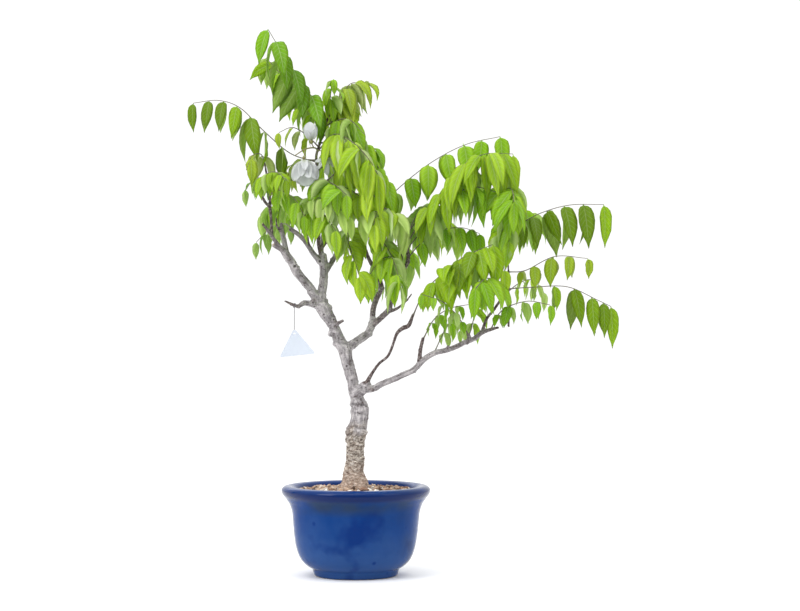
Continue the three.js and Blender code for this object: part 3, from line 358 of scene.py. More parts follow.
# How much longer and wider the fine leaflets of a frond are than the ones of its solid
REACH = {"right_fan": (1.2, 0.94), "long_right": (1.12, 1.4), "low_right": (1.03, 1.02),
    "far_right_lower": (1.1, 1.0), "centre_front": (1.06, 0.88), "left_arch": (1.0, 0.9),
    "crown_left": (1.12, 1.2), "right_facing": (1.1, 1.1), "far_right_upper": (1.08, 1.05),
    "spur_front": (0.6, 0.64), "spur_back": (0.64, 0.66), "low_middle": (0.8, 0.8),
    "rear_low_right": (0.56, 0.6), "right_fan_low": (0.85, 0.85), "outer_spur_up": (0.9, 0.85),
    "front_left": (0.72, 0.7), "left_low": (0.88, 0.86), "rear_left_twig": (0.66, 0.7),
    "rear_cut_limb": (0.72, 0.75), "rear_outer": (0.64, 0.62)}
# Fronds whose first pairs are small, and how small the very first is
FIRST_PAIRS = {"low_right": 0.5, "right_fan": 0.62, "far_right_upper": 0.62,
    "far_right_lower": 0.38, "far_right_mid": 0.6, "far_right_near": 0.62}
# Fronds whose last leaflets are still small
YOUNG_TIPS = ["left_arch", "far_right_mid", "crown_right", "crown_tip", "left_young",
    "far_right_near"]
# Fronds whose leaflets hang apart in one open row
OPEN_FRONDS = ["left_arch", "crown_left", "long_right", "far_right_upper", "far_right_mid",
    "far_right_lower", "far_right_near", "left_young", "left_tip", "spur_front", "spur_back",
    "outer_spur_up", "low_middle", "rear_low_right", "front_right", "rear_outer", "right_fan_low",
    "rear_cut_limb", "rear_left_twig", "low_centre"]

# A leaflet's and a petal's rows from foot to tip, each with its share of the width
LEAF_OUTLINE = [(0, 0.07), (0.035, 0.09), (0.075, 0.5), (0.15, 0.83), (0.28, 1.0), (0.44, 1.02),
    (0.6, 0.88), (0.75, 0.58), (0.88, 0.22), (1, 0.02)]
PETAL_OUTLINE = [(0, 0.16), (0.08, 0.24), (0.2, 0.62), (0.35, 0.88), (0.5, 1.0), (0.66, 1.0),
    (0.82, 0.8), (0.93, 0.5), (1, 0.12)]
# Petals of each bloom: turn, tilt, share of the length and width, and fold
PETALS = {
    "upper": [(0, -0.12, 1, 1, 0.3), (0, 0.1, 0.96, 0.95, 0.3), (0.35, -0.5, 0.74, 0.5, 0.5),
        (-0.35, -0.5, 0.74, 0.5, 0.5)],
    "lower": [(0.1, 0.14, 1.14, 1.25, 0.24), (0.52, -0.05, 1.05, 0.62, 0.5),
        (-0.5, 0.0, 1.02, 0.6, 0.5), (0.24, -0.3, 0.98, 0.52, 0.6), (-0.2, -0.36, 0.88, 0.46, 0.6),
        (0.02, -0.6, 0.7, 0.42, 0.9)],
    "side": [(0, 0, 1, 0.55, 0.5), (0.75, -0.3, 0.9, 0.4, 0.5), (-0.75, -0.3, 0.9, 0.4, 0.5),
        (1.5, -0.1, 0.75, 0.36, 0.5), (-1.5, -0.1, 0.75, 0.36, 0.5), (0.2, -0.8, 0.7, 0.36, 0.8)],
}

# Leaf colours by tone: deep, usual and pale green, roughness, share of light that passes
LEAF_TONES = {
    "bright": (("#7CA20C", "#A4CC14", "#D2EE48"), 0.4, 0.45),
    "mid": (("#649A0C", "#8CC412", "#C2E63C"), 0.38, 0.42),
    "dark": (("#528C0A", "#72B20E", "#AAD82E"), 0.36, 0.38),
    "olive": (("#7A9616", "#9CBA1C", "#CEE050"), 0.48, 0.42),
    "pale": (("#9CC63C", "#BAE04C", "#E2F6A0"), 0.55, 0.45),
}
UNDERSIDES = {
    "bright": ("#A6C460", "#C2DA82", "#E8F4BC"),
    "mid": ("#96BA4C", "#B4D26E", "#DCEEA4"),
    "dark": ("#86AE44", "#A4C662", "#D2E698"),
    "olive": ("#A0B25A", "#BECC7C", "#E4EAB4"),
    "pale": ("#BED886", "#D8EAA8", "#F2F8DA"),
}
UNDERSIDE_ROUGHNESS = 0.62
# Fronds that are deeper or paler in colour than their tone. The fronds inside the crown are painted
# paler: painted light that lifts the shade they lie in
TINTS_AND_PAINTED_LIGHT = {"left_arch": -0.6, "crown_left": -0.98, "crown_left_rear": -0.75,
    "far_right_upper": -0.77, "far_right_lower": -0.72, "far_right_near": -0.5, "low_right": -0.5,
    "front_left": -0.5, "long_right": -0.15, "left_low": -0.1, "right_facing": -0.2,
    "right_fan": -0.2, "centre_front": 0.15, "centre_mid": 0.35, "centre_hang": 0.45,
    "hang_centre": 0.45, "hang_right": 0.5, "hang_left": 0.45, "pale_drape": 0.3,
    "pale_centre": 0.3, "centre_dark": 0.35, "centre_right": 0.25, "centre_low": 0.2,
    "low_centre": 0.2}

# Colours of the grains of grit, and how common each is
GRAINS = [("#BCA38E", 0.18), ("#8A6B58", 0.17), ("#B09078", 0.16), ("#DECEBC", 0.12),
    ("#5A4335", 0.12), ("#A0948C", 0.08), ("#F2ECE4", 0.06), ("#6E5646", 0.07), ("#A06C56", 0.04)]
# Grains from large to small: least and most radius in millimetres, and how often one is tried
GRAIN_SIZES = [(3.3, 4.6, 900), (2.2, 3.2, 3500), (1.3, 2.1, 9000)]

# Studio lamps: name, place in millimetres, width and height in metres, power in watts
LAMPS = [
    ("left_lamp", (-1700, -1500, 1500), (1.1, 1.6), 26),
    ("right_lamp", (2000, -1200, 1300), (1.2, 1.8), 7),
    ("front_strip", (-300, -1500, 2300), (2.4, 0.12), 10),
    ("top_lamp", (100, 100, 2400), (2.0, 2.0), 12),
    ("back_lamp", (-500, 2000, 1500), (1.6, 1.2), 5),
]

# Colours and materials


def linear(code):
    """An sRGB hex colour as linear red, green and blue."""
    parts = [int(code[i : i + 2], 16) / 255 for i in (1, 3, 5)]
    return tuple(c / 12.92 if c <= 0.04045 else ((c + 0.055) / 1.055) ** 2.4 for c in parts)


def full_colour(colour):
    """A colour with its alpha, from a hex code, a linear colour or a grey value."""
    if isinstance(colour, str):
        colour = linear(colour)
    return (colour, colour, colour, 1) if isinstance(colour, (int, float)) else (*colour, 1)


def add(tree, kind, links=None, out=0, stops=None, **settings):
    """Adds a node, sets it, and links or fills its inputs, by name or number. It gives the output
    of that name or number, or the node itself where out is None."""
    node = tree.nodes.new("ShaderNode" + kind)
    for key, value in settings.items():
        setattr(node, key, value)
    for key, value in (links or {}).items():
        socket = node.inputs[key]
        if isinstance(value, bpy.types.NodeSocket):
            tree.links.new(value, socket)
        else:
            socket.default_value = full_colour(value) if socket.type == "RGBA" else value
    if stops:
        ramp = node.color_ramp.elements
        while len(ramp) < len(stops):
            ramp.new(0.5)
        for element, (place, colour) in zip(ramp, stops):
            element.position = place
            element.color = full_colour(colour)
    return node if out is None else node.outputs[out]


def start_material(name):
    """An empty material with its tree and the place of a point on the object."""
    made = bpy.data.materials.new(name)
    made.use_nodes = True
    made.node_tree.nodes.clear()
    return made, made.node_tree, add(made.node_tree, "TexCoord", out="Object")


def finish_material(made, tree, colour, roughness, relief, strength, depth, more=None,
        lit=None, through=0):
    """Gives a material its colour, roughness, relief in metres and other inputs by name. In a
    thin part, such as a leaf, a share of the light shines through in the colour lit."""
    bump = add(tree, "Bump", {"Height": relief, "Strength": strength, "Distance": depth})
    shader = add(tree, "BsdfPrincipled",
        {"Base Color": colour, "Roughness": roughness, "Normal": bump, **(more or {})})
    if through:
        glow = add(tree, "BsdfTranslucent", {"Color": lit, "Normal": bump})
        shader = add(tree, "MixShader", {0: through, 1: shader, 2: glow})
    add(tree, "OutputMaterial", {0: shader}, None)
    return made


def glaze_material(look):
    """Cobalt glaze over stoneware, fired glossy: it pools dark, thins to grey under the lip and
    lies thick on the lip."""
    made, tree, place = start_material("cobalt_glaze_on_stoneware")
    height = add(tree, "SeparateXYZ", {0: place}, "Z")
    # The glaze turns paler towards the foot over 90 mm, in patches
    run = add(tree, "MapRange", {0: height, 1: 0.015, 2: 0.105})
    flow = add(tree, "TexNoise", {0: place, "Scale": 22, "Detail": 3, "Roughness": 0.5})
    drift = add(tree, "Math", {0: flow, 1: 1.3, 2: -0.65}, operation="MULTIPLY_ADD")
    level = add(tree, "Math", {0: run, 1: drift}, operation="ADD", use_clamp=True)
    body = add(tree, "Mix", {0: level, 6: look.glaze_pale, 7: look.glaze}, 2, data_type="RGBA")
    # Pools of deep cobalt 10 to 30 mm wide
    pools = add(tree, "TexNoise", {0: place, "Scale": 34, "Detail": 2, "Roughness": 0.4})
    # The largest one lies right of the middle of the front, 70 mm above the foot
    lake_at = tuple(placed((16, -92, 70)))
    spread = add(tree, "VectorMath", {0: place, 1: lake_at}, operation="SUBTRACT")
    scaled = add(tree, "VectorMath", {0: spread, 1: (28, 16, 55)}, operation="MULTIPLY")
    far = add(tree, "VectorMath", {0: scaled}, "Value", operation="LENGTH")
    lake = add(tree, "MapRange", {0: far, 1: 0.3, 2: 1.5, 3: 0.26, 4: 0})
    deepest = add(tree, "Math", {0: pools, 1: lake}, operation="ADD")
    pooled = add(tree, "MapRange", {0: deepest, 1: 0.58, 2: 0.8, 3: 0, 4: 0.85})
    deep = add(tree, "Mix", {0: pooled, 6: body, 7: look.glaze_deep}, 2, data_type="RGBA")
    # Round spots about 6 mm wide where a speck of oxide bled into the glaze
    cells = add(tree, "TexVoronoi", {0: place, "Scale": 48}, None)
    chosen = add(tree, "SeparateColor", {0: cells.outputs["Color"]})
    rare = add(tree, "Math", {0: chosen, 1: 0.82}, operation="GREATER_THAN")
    near = add(tree, "MapRange", {0: cells.outputs["Distance"], 1: 0.08, 2: 0.2, 3: 0.75, 4: 0})
    spot = add(tree, "Math", {0: rare, 1: near}, operation="MULTIPLY")
    spotted = add(tree, "Mix", {0: spot, 6: deep, 7: look.glaze_deep}, 2, data_type="RGBA")
    # Under the lip the glaze thins to grey in patches, most of all on the right
    level = add(tree, "MapRange", {0: height, 1: 0, 2: 0.127})
    thin = add(tree, "ValToRGB", {0: level},
        stops=[(0.0, 0.5), (0.06, 0.1), (0.7, 0.0), (0.79, 0.8), (0.87, 0.8), (0.9, 0.0)])
    worn = add(tree, "TexNoise", {0: place, "Scale": 16, "Detail": 3})
    bare = add(tree, "MapRange", {0: worn, 1: 0.42, 2: 0.64})
    across = add(tree, "SeparateXYZ", {0: place}, "X")
    lee = add(tree, "MapRange", {0: across, 1: AXIS[0] + 0.03, 2: AXIS[0] + 0.1, 3: 0, 4: 0.7})
    thinned = add(tree, "Math", {0: thin, 1: lee}, operation="MAXIMUM")
    greyed = add(tree, "Math", {0: thinned, 1: bare}, operation="MULTIPLY")
    toned = add(tree, "Mix", {0: greyed, 6: spotted, 7: look.glaze_thin}, 2, data_type="RGBA")
    # On the lip it lies thick and dark, with the deepest shine
    level = add(tree, "MapRange", {0: height, 1: 0.1, 2: 0.13})
    lip = add(tree, "ValToRGB", {0: level},
        stops=[(0.3, 0.0), (0.45, 0.9), (0.66, 0.9), (0.86, 0.15)])
    colour = add(tree, "Mix", {0: lip, 6: toned, 7: look.glaze_lip}, 2, data_type="RGBA")
    gloss = add(tree, "MapRange", {0: flow, 3: look.gloss, 4: look.gloss + 0.08})
    mirror = add(tree, "MapRange", {0: height, 1: 0.108, 2: 0.114, 3: 0.06, 4: 0.19})
    # Faint throwing rings 9 mm apart and orange peel in the glaze
    rings = add(tree, "TexWave", {0: place, "Scale": 34, "Distortion": 2.5, "Detail": 1},
        bands_direction="Z")
    peel = add(tree, "TexNoise", {0: place, "Scale": 240, "Detail": 1})
    relief = add(tree, "Math", {0: rings, 1: 0.5, 2: peel}, operation="MULTIPLY_ADD")
    return finish_material(made, tree, colour, gloss, relief, 0.1, 0.0006,
        {"IOR": 1.5, "Specular IOR Level": mirror})


def clay_material():
    """Unglazed stoneware of the foot ring, wiped bare before firing: matt and grey-brown."""
    made, tree, place = start_material("bare_stoneware")
    grain = add(tree, "TexNoise", {0: place, "Scale": 300, "Detail": 3})
    colour = add(tree, "ValToRGB", {0: grain}, stops=[(0.3, "#5B5048"), (0.7, "#85776A")])
    return finish_material(made, tree, colour, 0.85, grain, 0.4, 0.0004)


def grit_material():
    """Washed grit and baked clay granules, each with its own colour: dry, matt and dusty."""
    made, tree, place = start_material("dry_grit")
    own = add(tree, "Attribute", out="Color", attribute_name="grit_colour")
    dust = add(tree, "TexNoise", {0: place, "Scale": 700, "Detail": 3, "Roughness": 0.7})
    shade = add(tree, "MapRange", {0: dust, 1: 0.3, 2: 0.7, 3: 0.66, 4: 1.2})
    colour = add(tree, "VectorMath", {0: own, 3: shade}, operation="SCALE")
    return finish_material(made, tree, colour, 0.92, dust, 0.5, 0.0004)


def earth_material():
    """Damp potting earth between the grit: dark brown crumbs 2 to 3 mm wide."""
    made, tree, place = start_material("damp_earth")
    crumbs = add(tree, "TexNoise", {0: place, "Scale": 380, "Detail": 5, "Roughness": 0.7})
    colour = add(tree, "ValToRGB", {0: crumbs},
        stops=[(0.3, "#2A2019"), (0.52, "#5A4636"), (0.72, "#8A705A")])
    return finish_material(made, tree, colour, 0.95, crumbs, 0.8, 0.001)


def bark_material(look):
    """Wisteria bark: smooth grey-mauve with dark lenticels, rough and tan on the old foot, brown
    on thin twigs."""
    made, tree, place = start_material("wisteria_bark")
    height = add(tree, "SeparateXYZ", {0: place}, "Z")
    girth, rise, eye, cut = [add(tree, "Attribute", out="Fac", attribute_name=name)
        for name in ("girth", "bark_rise", "scar", "cut")]
    way = add(tree, "Attribute", out="Vector", attribute_name="bark_way")
    # Mottling over 5 to 20 mm, grain of 3 mm, and fibres 2 mm wide that run along the stem
    broad = add(tree, "TexNoise", {0: place, "Scale": 60, "Detail": 4, "Roughness": 0.6})
    grain = add(tree, "TexNoise", {0: place, "Scale": 330, "Detail": 4, "Roughness": 0.7})
    drawn = add(tree, "Mapping", {0: way, "Scale": (430, 430, 55)})
    fibre = add(tree, "TexNoise", {0: drawn, "Scale": 1, "Detail": 5, "Roughness": 0.68})
    half = add(tree, "Math", {0: broad, 1: 0.5, 2: 0.0}, operation="MULTIPLY_ADD")
    more = add(tree, "Math", {0: fibre, 1: 0.9, 2: half}, operation="MULTIPLY_ADD")
    both = add(tree, "Math", {0: grain, 1: 0.45, 2: more}, operation="MULTIPLY_ADD")
    spread = add(tree, "MapRange", {0: both, 1: 0.7, 2: 1.15})
    smooth = add(tree, "ValToRGB", {0: spread}, stops=[(0.05, look.bark_dark), (0.3, "#8D888A"),
        (0.52, look.bark), (0.85, look.bark_pale)])
    # Lenticels: dark flecks 3 mm long that lie across the stem
    flat = add(tree, "Mapping", {0: way, "Scale": (170, 170, 300)})
    cells = add(tree, "TexVoronoi", {0: flat, "Scale": 1}, None)
    chosen = add(tree, "SeparateColor", {0: cells.outputs["Color"]})
    few = add(tree, "Math", {0: chosen, 1: 0.76}, operation="GREATER_THAN")
    dot = add(tree, "MapRange", {0: cells.outputs["Distance"], 1: 0.16, 2: 0.36, 3: 0.8, 4: 0})
    fleck = add(tree, "Math", {0: few, 1: dot}, operation="MULTIPLY")
    # The eyes of old side shoots are as dark
    mark = add(tree, "Math", {0: fleck, 1: eye}, operation="MAXIMUM")
    flecked = add(tree, "Mix", {0: mark, 6: smooth, 7: "#4A4040"}, 2, data_type="RGBA")
    # Old foot: cracked tan crust, whose plates lie across the trunk, 2 to 3 mm high
    across = add(tree, "Mapping", {0: way, "Scale": (190, 190, 420)})
    crust = add(tree, "TexNoise", {0: across, "Scale": 1, "Detail": 5, "Roughness": 0.75})
    old = add(tree, "ValToRGB", {0: crust}, stops=[(0.38, "#4A3F37"), (0.45, "#897C71"),
        (0.51, look.bark_old), (0.56, "#D2C7BB"), (0.64, "#F6F1EA")])
    # The last 40 mm above the grit are browner
    low = add(tree, "MapRange", {0: height, 1: 0.125, 2: 0.165, 3: 0.55, 4: 0})
    browned = add(tree, "Mix", {0: low, 6: old, 7: "#D0AE98"}, 2, data_type="RGBA")
    edge = add(tree, "Math", {0: broad, 1: 0.06, 2: height}, operation="MULTIPLY_ADD")
    aged = add(tree, "MapRange", {0: edge, 1: 0.222, 2: 0.246, 3: 1, 4: 0})
    stem = add(tree, "Mix", {0: aged, 6: flecked, 7: browned}, 2, data_type="RGBA")
    # Thin twigs are brown with pale grains
    thin = add(tree, "MapRange", {0: girth, 1: 2.2, 2: 4.2, 3: 1, 4: 0})
    twig = add(tree, "ValToRGB", {0: grain},
        stops=[(0.36, "#33292A"), (0.5, look.twig), (0.66, "#A39A98")])
    grown = add(tree, "Mix", {0: thin, 6: stem, 7: twig}, 2, data_type="RGBA")
    # Painted shade and light: the colour is darkened in hollows and lightened on ridges, by how far
    # each point of the bark is sunk or raised
    worn = add(tree, "MapRange", {0: rise, 1: -0.9, 2: 0.5, 3: 0.5, 4: 1.1})
    shaded = add(tree, "VectorMath", {0: grown, 3: worn}, operation="SCALE")
    # Sawn ends of the pruned limbs: weathered pale wood
    heart = add(tree, "ValToRGB", {0: grain}, stops=[(0.35, "#86745F"), (0.65, "#C9BCA6")])
    colour = add(tree, "Mix", {0: cut, 6: shaded, 7: heart}, 2, data_type="RGBA")
    crusty = add(tree, "Math", {0: aged, 1: crust}, operation="MULTIPLY")
    marked = add(tree, "Math", {0: mark, 1: -0.4, 2: grain}, operation="MULTIPLY_ADD")
    relief = add(tree, "Math", {0: crusty, 1: 1.5, 2: marked}, operation="MULTIPLY_ADD")
    return finish_material(made, tree, colour, 0.85, relief, 0.85, 0.0016,
        {"Specular IOR Level": 0.3})


def leaf_material(name, greens, shine, through, under=False):
    """A grown leaf with its waxy skin: pale midrib and side veins, spotty green, light shining
    through."""
    made, tree, place = start_material(name)
    chart = add(tree, "UVMap", uv_map="blade")
    both = add(tree, "SeparateXYZ", {0: chart}, None)
    centred = add(tree, "Math", {0: both.outputs["X"], 1: 0.5}, operation="SUBTRACT")
    aside = add(tree, "Math", {0: centred}, operation="ABSOLUTE")
    # Side veins leave the midrib every 12% of the length and bend towards the tip
    lean = add(tree, "Math", {0: aside, 1: -0.42, 2: both.outputs["Y"]}, operation="MULTIPLY_ADD")
    count = add(tree, "Math", {0: lean, 1: 17.0}, operation="MULTIPLY")
    beat = add(tree, "Math", {0: count, 1: 1.0}, operation="PINGPONG")
    side_vein = add(tree, "MapRange", {0: beat, 1: 0, 2: 0.24, 3: 0.85, 4: 0})
    midrib = add(tree, "MapRange", {0: aside, 1: 0.012, 2: 0.05, 3: 1, 4: 0})
    veins = add(tree, "Math", {0: midrib, 1: side_vein}, operation="MAXIMUM")
    # Each leaflet's tint, which holds painted light for the fronds inside the crown
    own = add(tree, "Attribute", out="Fac", attribute_name="leaf_tint_and_light")
    # Spots about 8 mm wide
    spots = add(tree, "TexNoise", {0: place, "Scale": 120, "Detail": 3})
    shift = add(tree, "Math", {0: spots, 1: 0.45, 2: own}, operation="MULTIPLY_ADD")
    share = add(tree, "MapRange", {0: shift, 1: -0.45, 2: 1.3})
    green = add(tree, "ValToRGB", {0: share}, stops=list(zip((0, 0.34, 1), greens)))
    # The blade is deepest in colour along the midrib and thins to a yellow margin
    depth = add(tree, "MapRange", {0: aside, 1: 0.03, 2: 0.3, 3: 0.5, 4: 0})
    deep = add(tree, "Mix", {0: depth, 6: green, 7: greens[0]}, 2, data_type="RGBA")
    rim = add(tree, "MapRange", {0: aside, 1: 0.4, 2: 0.5, 3: 0, 4: 0.35})
    edged = add(tree, "Mix", {0: rim, 6: deep, 7: greens[2]}, 2, data_type="RGBA")
    strength = add(tree, "Math", {0: veins, 1: 0.55 if under else 0.42}, operation="MULTIPLY")
    veined = add(tree, "Mix", {0: strength, 6: edged, 7: "#D4EA9C"}, 2, data_type="RGBA")
    # Leaflets with the lowest tint are darkened further, down to 55%
    low_tint_dimming = add(tree, "MapRange", {0: own, 1: -1.0, 2: -0.3, 3: 0.55, 4: 1.0})
    colour = add(tree, "VectorMath", {0: veined, 3: low_tint_dimming}, operation="SCALE")
    # Veins are sunk above and stand out below
    crease = add(tree, "Math", {0: veins, 1: 1.0 if under else -1.0}, operation="MULTIPLY")
    grain = add(tree, "TexNoise", {0: place, "Scale": 900, "Detail": 1})
    relief = add(tree, "Math", {0: grain, 1: 0.25, 2: crease}, operation="MULTIPLY_ADD")
    lit = add(tree, "Mix", {0: 0.4, 6: colour, 7: "#D2EC3A"}, 2, data_type="RGBA")
    return finish_material(made, tree, colour, shine, relief, 0.55, 0.0005,
        {"IOR": 1.42, "Specular IOR Level": 0.35}, lit, through)


def stalk_material(name, green, brown):
    """Leaf and flower stalks: fresh green skin that turns brown in patches, downy and nearly
    matt."""
    made, tree, place = start_material(name)
    patch = add(tree, "TexNoise", {0: place, "Scale": 40, "Detail": 4})
    colour = add(tree, "ValToRGB", {0: patch}, stops=[(0.38, green), (0.64, brown)])
    down = add(tree, "TexNoise", {0: place, "Scale": 1500, "Detail": 1})
    return finish_material(made, tree, colour, 0.6, down, 0.3, 0.0002, {"Sheen Weight": 0.2})


def petal_material(look):
    """White pea-flower petals: thin, softly veined, greenish towards the foot, light shining
    through."""
    made, tree, _ = start_material("white_petal")
    chart = add(tree, "UVMap", uv_map="blade")
    along = add(tree, "SeparateXYZ", {0: chart}, "Y")
    # Fine veins fan out about 1 mm apart
    fan = add(tree, "TexWave", {0: chart, "Scale": 6.5, "Distortion": 1.2, "Detail": 2},
        bands_direction="X")
    veins = add(tree, "MapRange", {0: fan, 1: 0, 2: 0.45, 3: 0.7, 4: 0})
    veined = add(tree, "Mix", {0: veins, 6: look.petal, 7: "#C2CAC6"}, 2, data_type="RGBA")
    foot = add(tree, "MapRange", {0: along, 1: 0.05, 2: 0.4, 3: 0.7, 4: 0})
    colour = add(tree, "Mix", {0: foot, 6: veined, 7: "#C3CDA0"}, 2, data_type="RGBA")
    return finish_material(made, tree, colour, 0.55, fan, 0.25, 0.0003, {"Sheen Weight": 0.15},
        colour, 0.45)


def card_material(look):
    """Uncoated white card of the tag: short paper fibres and a slightly worn surface."""
    made, tree, place = start_material("white_card")
    drawn = add(tree, "Mapping", {0: place, "Scale": (500, 500, 1400)})
    fibre = add(tree, "TexNoise", {0: drawn, "Scale": 1, "Detail": 4})
    cloudy = add(tree, "TexNoise", {0: place, "Scale": 70, "Detail": 3})
    shade = add(tree, "MapRange", {0: cloudy, 3: 0.93, 4: 1.0})
    colour = add(tree, "VectorMath", {0: tuple(look.paper), 3: shade}, operation="SCALE")
    return finish_material(made, tree, colour, 0.75, fibre, 0.25, 0.0002)


def thread_material():
    """Twisted grey cotton thread: strands wound about 2 mm apart, fuzzy and matt."""
    made, tree, place = start_material("twisted_cotton_thread")
    strands = add(tree, "TexWave", {0: place, "Scale": 330, "Distortion": 0.6},
        bands_direction="DIAGONAL")
    colour = add(tree, "ValToRGB", {0: strands}, stops=[(0.2, "#3A3739"), (0.8, "#77747A")])
    return finish_material(made, tree, colour, 0.9, strands, 0.6, 0.0002, {"Sheen Weight": 0.4})


# Curves and leaflets, laid out as in the solids


def unit(v):
    return v / np.linalg.norm(v)


def mix(a, b, t):
    return a + (b - a) * t


def held(value, least=0, most=1):
    """A value held between two limits."""
    return min(most, max(least, value))


def turned(v, axis, angle):
    """v turned about a unit axis."""
    return (v * math.cos(angle) + np.cross(axis, v) * math.sin(angle)
        + axis * np.dot(axis, v) * (1 - math.cos(angle)))


def bow(share):
    """How near a leaflet is to the full part of its frond, from 0 to 1."""
    return math.sin(math.pi * min(1, share + 0.15))


class Route:
    """A smooth curve through points, the same one as in the solids."""

    def __init__(self, points):
        self.points = np.array([p[:3] for p in points], float)
        self.radii = [p[3] if len(p) > 3 else 0 for p in points]

    def at(self, t, values=None):
        """The place at a share t of the way, or other values of the points there."""
        p = self.points if values is None else values
        n = len(p)
        i = int(math.floor((n - 1) * t))
        w = (n - 1) * t - i
        if w == 0 and i == n - 1:
            i, w = n - 2, 1.0
        before = p[i - 1] if i > 0 else 2 * p[0] - p[1]
        after = p[i + 2] if i + 2 < n else 2 * p[n - 1] - p[n - 2]
        a, b = p[i], p[i + 1]
        u, v = 0.5 * (b - before), 0.5 * (after - a)
        return (a + u * w + (-3 * a + 3 * b - 2 * u - v) * w**2
            + (2 * a - 2 * b + u + v) * w**3)

    def along(self, t):
        return unit(self.at(min(1, t + 1e-4)) - self.at(max(0, t - 1e-4)))

    def radius(self, t):
        s = t * (len(self.radii) - 1)
        i = min(int(s), len(self.radii) - 2)
        return mix(self.radii[i], self.radii[i + 1], s - i)

    def length(self):
        spots = np.array([self.at(i / 200) for i in range(201)])
        return float(np.linalg.norm(np.diff(spots, axis=0), axis=1).sum())

    def line(self, steps, scale=1.0):
        """Points with radii along the curve, with steps of them on each stretch."""
        count = steps * (len(self.points) - 1)
        shares = [i / count for i in range(count + 1)]
        return [(*self.at(t), self.at(t, self.radii) * scale) for t in shares]


class Dice:
    """One seeded stream of numbers from 0 to 1."""

    def __init__(self, seed):
        self.state = seed

    def roll(self):
        self.state = (self.state * 1664525 + 1013904223) % 2**32
        return self.state / 2**32

    def jitter(self, amount):
        return (self.roll() * 2 - 1) * amount

    def hang(self, swing, droop, sway, twist, bend):
        """How a leaflet hangs: drawn within a swing, round a droop, within a twist and a bend."""
        return {"swing": self.jitter(swing), "droop": droop + self.jitter(sway),
            "twist": self.jitter(twist), "bend": mix(*bend, self.roll())}


class Blade:
    """One leaflet or petal: its foot, where it heads and faces, its size and its bend. Hand is
    the side of the stalk that it grows on, or 0 for the one at the stalk's end."""

    def __init__(self, root, heading, face, length, width, bend, hand=0):
        self.root, self.heading, self.face = root, heading, face
        self.length, self.width, self.bend, self.hand = length, width, bend, hand
        self.across = np.cross(face, heading)

    def middle(self, s):
        return (self.root + self.heading * (self.length * s)
            - self.face * (self.bend * self.length * s * s))

    def reach(self):
        """The radius of a ball round its middle that it stays within."""
        return 0.6 * self.length + 8

    def spots(self):
        """Spots on it that the other leaflets keep clear of."""
        stations = [(0, 0), *BLADE_STATIONS, (1, 0)]
        found = []
        for s in (0.2, 0.36, 0.52, 0.68, 0.84, 1):
            k = next(i for i, (at, _) in enumerate(stations) if at >= s and at > 0)
            (s0, w0), (s1, w1) = stations[k - 1], stations[k]
            half = 0.5 * self.width * mix(w0, w1, (s - s0) / (s1 - s0))
            found += [self.middle(s) + self.across * (side * half) for side in (-0.7, 0, 0.7)]
        return np.array(found)


class Taken:
    """The spots that leaflets keep clear of."""

    def __init__(self):
        self.rows, self.spots, self.row_of = [], np.zeros((0, 3)), np.zeros(0, int)
        self.waiting, self.waiting_rows = [], []

    def put(self, owner, centre, reach, clear, spots=None):
        """Takes a leaflet's spots, or the one centre of a place on wood, a stalk or a bloom."""
        is_round = spots is None
        self.waiting.append(np.reshape(centre if is_round else spots, (-1, 3)).astype(float))
        self.waiting_rows += [len(self.rows)] * len(self.waiting[-1])
        self.rows.append((owner, is_round, *centre, reach, clear))

    def put_blooms(self, clear):
        """Takes the places of the blooms, with some air round them."""
        for _, foot, aim, length, _ in BLOOMS:
            centre = np.array(foot) + unit(np.array(aim, float)) * (length / 2)
            self.put("bloom", centre, length, length / 2 + clear)

    def settle(self):
        """Moves what was put in into arrays."""
        if self.waiting:
            self.spots = np.vstack([self.spots, *self.waiting])
            self.row_of = np.append(self.row_of, self.waiting_rows).astype(int)
            self.waiting, self.waiting_rows = [], []
            self.owner = np.array([r[0] for r in self.rows])
            self.facts = np.array([r[1:] for r in self.rows], float)

    def is_clear(self, spots, centre, reach, owner):
        self.settle()
        own_stalk = (self.owner == owner) & (self.facts[:, 0] > 0)
        near = np.linalg.norm(self.facts[:, 1:4] - centre, axis=1) <= reach + self.facts[:, 4]
        kept = (near & ~own_stalk)[self.row_of]
        gaps = np.linalg.norm(self.spots[kept][:, None] - spots[None], axis=2)
        return not (gaps < self.facts[self.row_of[kept], 5][:, None]).any()

    def hang_free(self, owner, spot, hand, draw, length, width, clear):
        """A leaflet hung in the first way that touches nothing, or None."""
        for change in SWINGS:
            blade = hanging_blade(spot, hand, draw, change, length, width)
            centre, reach, spots = blade.middle(0.5), blade.reach(), blade.spots()
            if self.is_clear(spots, centre, reach, owner):
                self.put(owner, centre, reach, clear, spots)
                return blade
        return None


def stalk_frames(frond):
    """Where leaflets leave a frond's stalk, with its directions there: rings and nodes in turn."""
    _, _, pairs, _, _, route = frond
    curve = Route(route)
    half = 0.5 * NODE_LENGTH / curve.length()
    places = [(0, False), (0.5 * BARE_STALK, False)]
    for i in range(pairs):
        t = mix(BARE_STALK, 1, i / pairs)
        places += [(t - half, False), (t, True), (t + half, False)]
    places.append((1, False))
    side = np.cross(curve.along(0), UP)
    if np.linalg.norm(side) < 0.25:
        side = np.array([0.9, 0.4, 0.0])
    frames = []
    for t, is_node in places:
        along = curve.along(t)
        side = unit(side - along * np.dot(side, along))
        frames.append({"t": t, "is_node": is_node, "centre": curve.at(t), "along": along,
            "side": side, "above": np.cross(side, along),
            "half": mix(STALK_HALF, STALK_TIP_HALF, t)})
    return frames


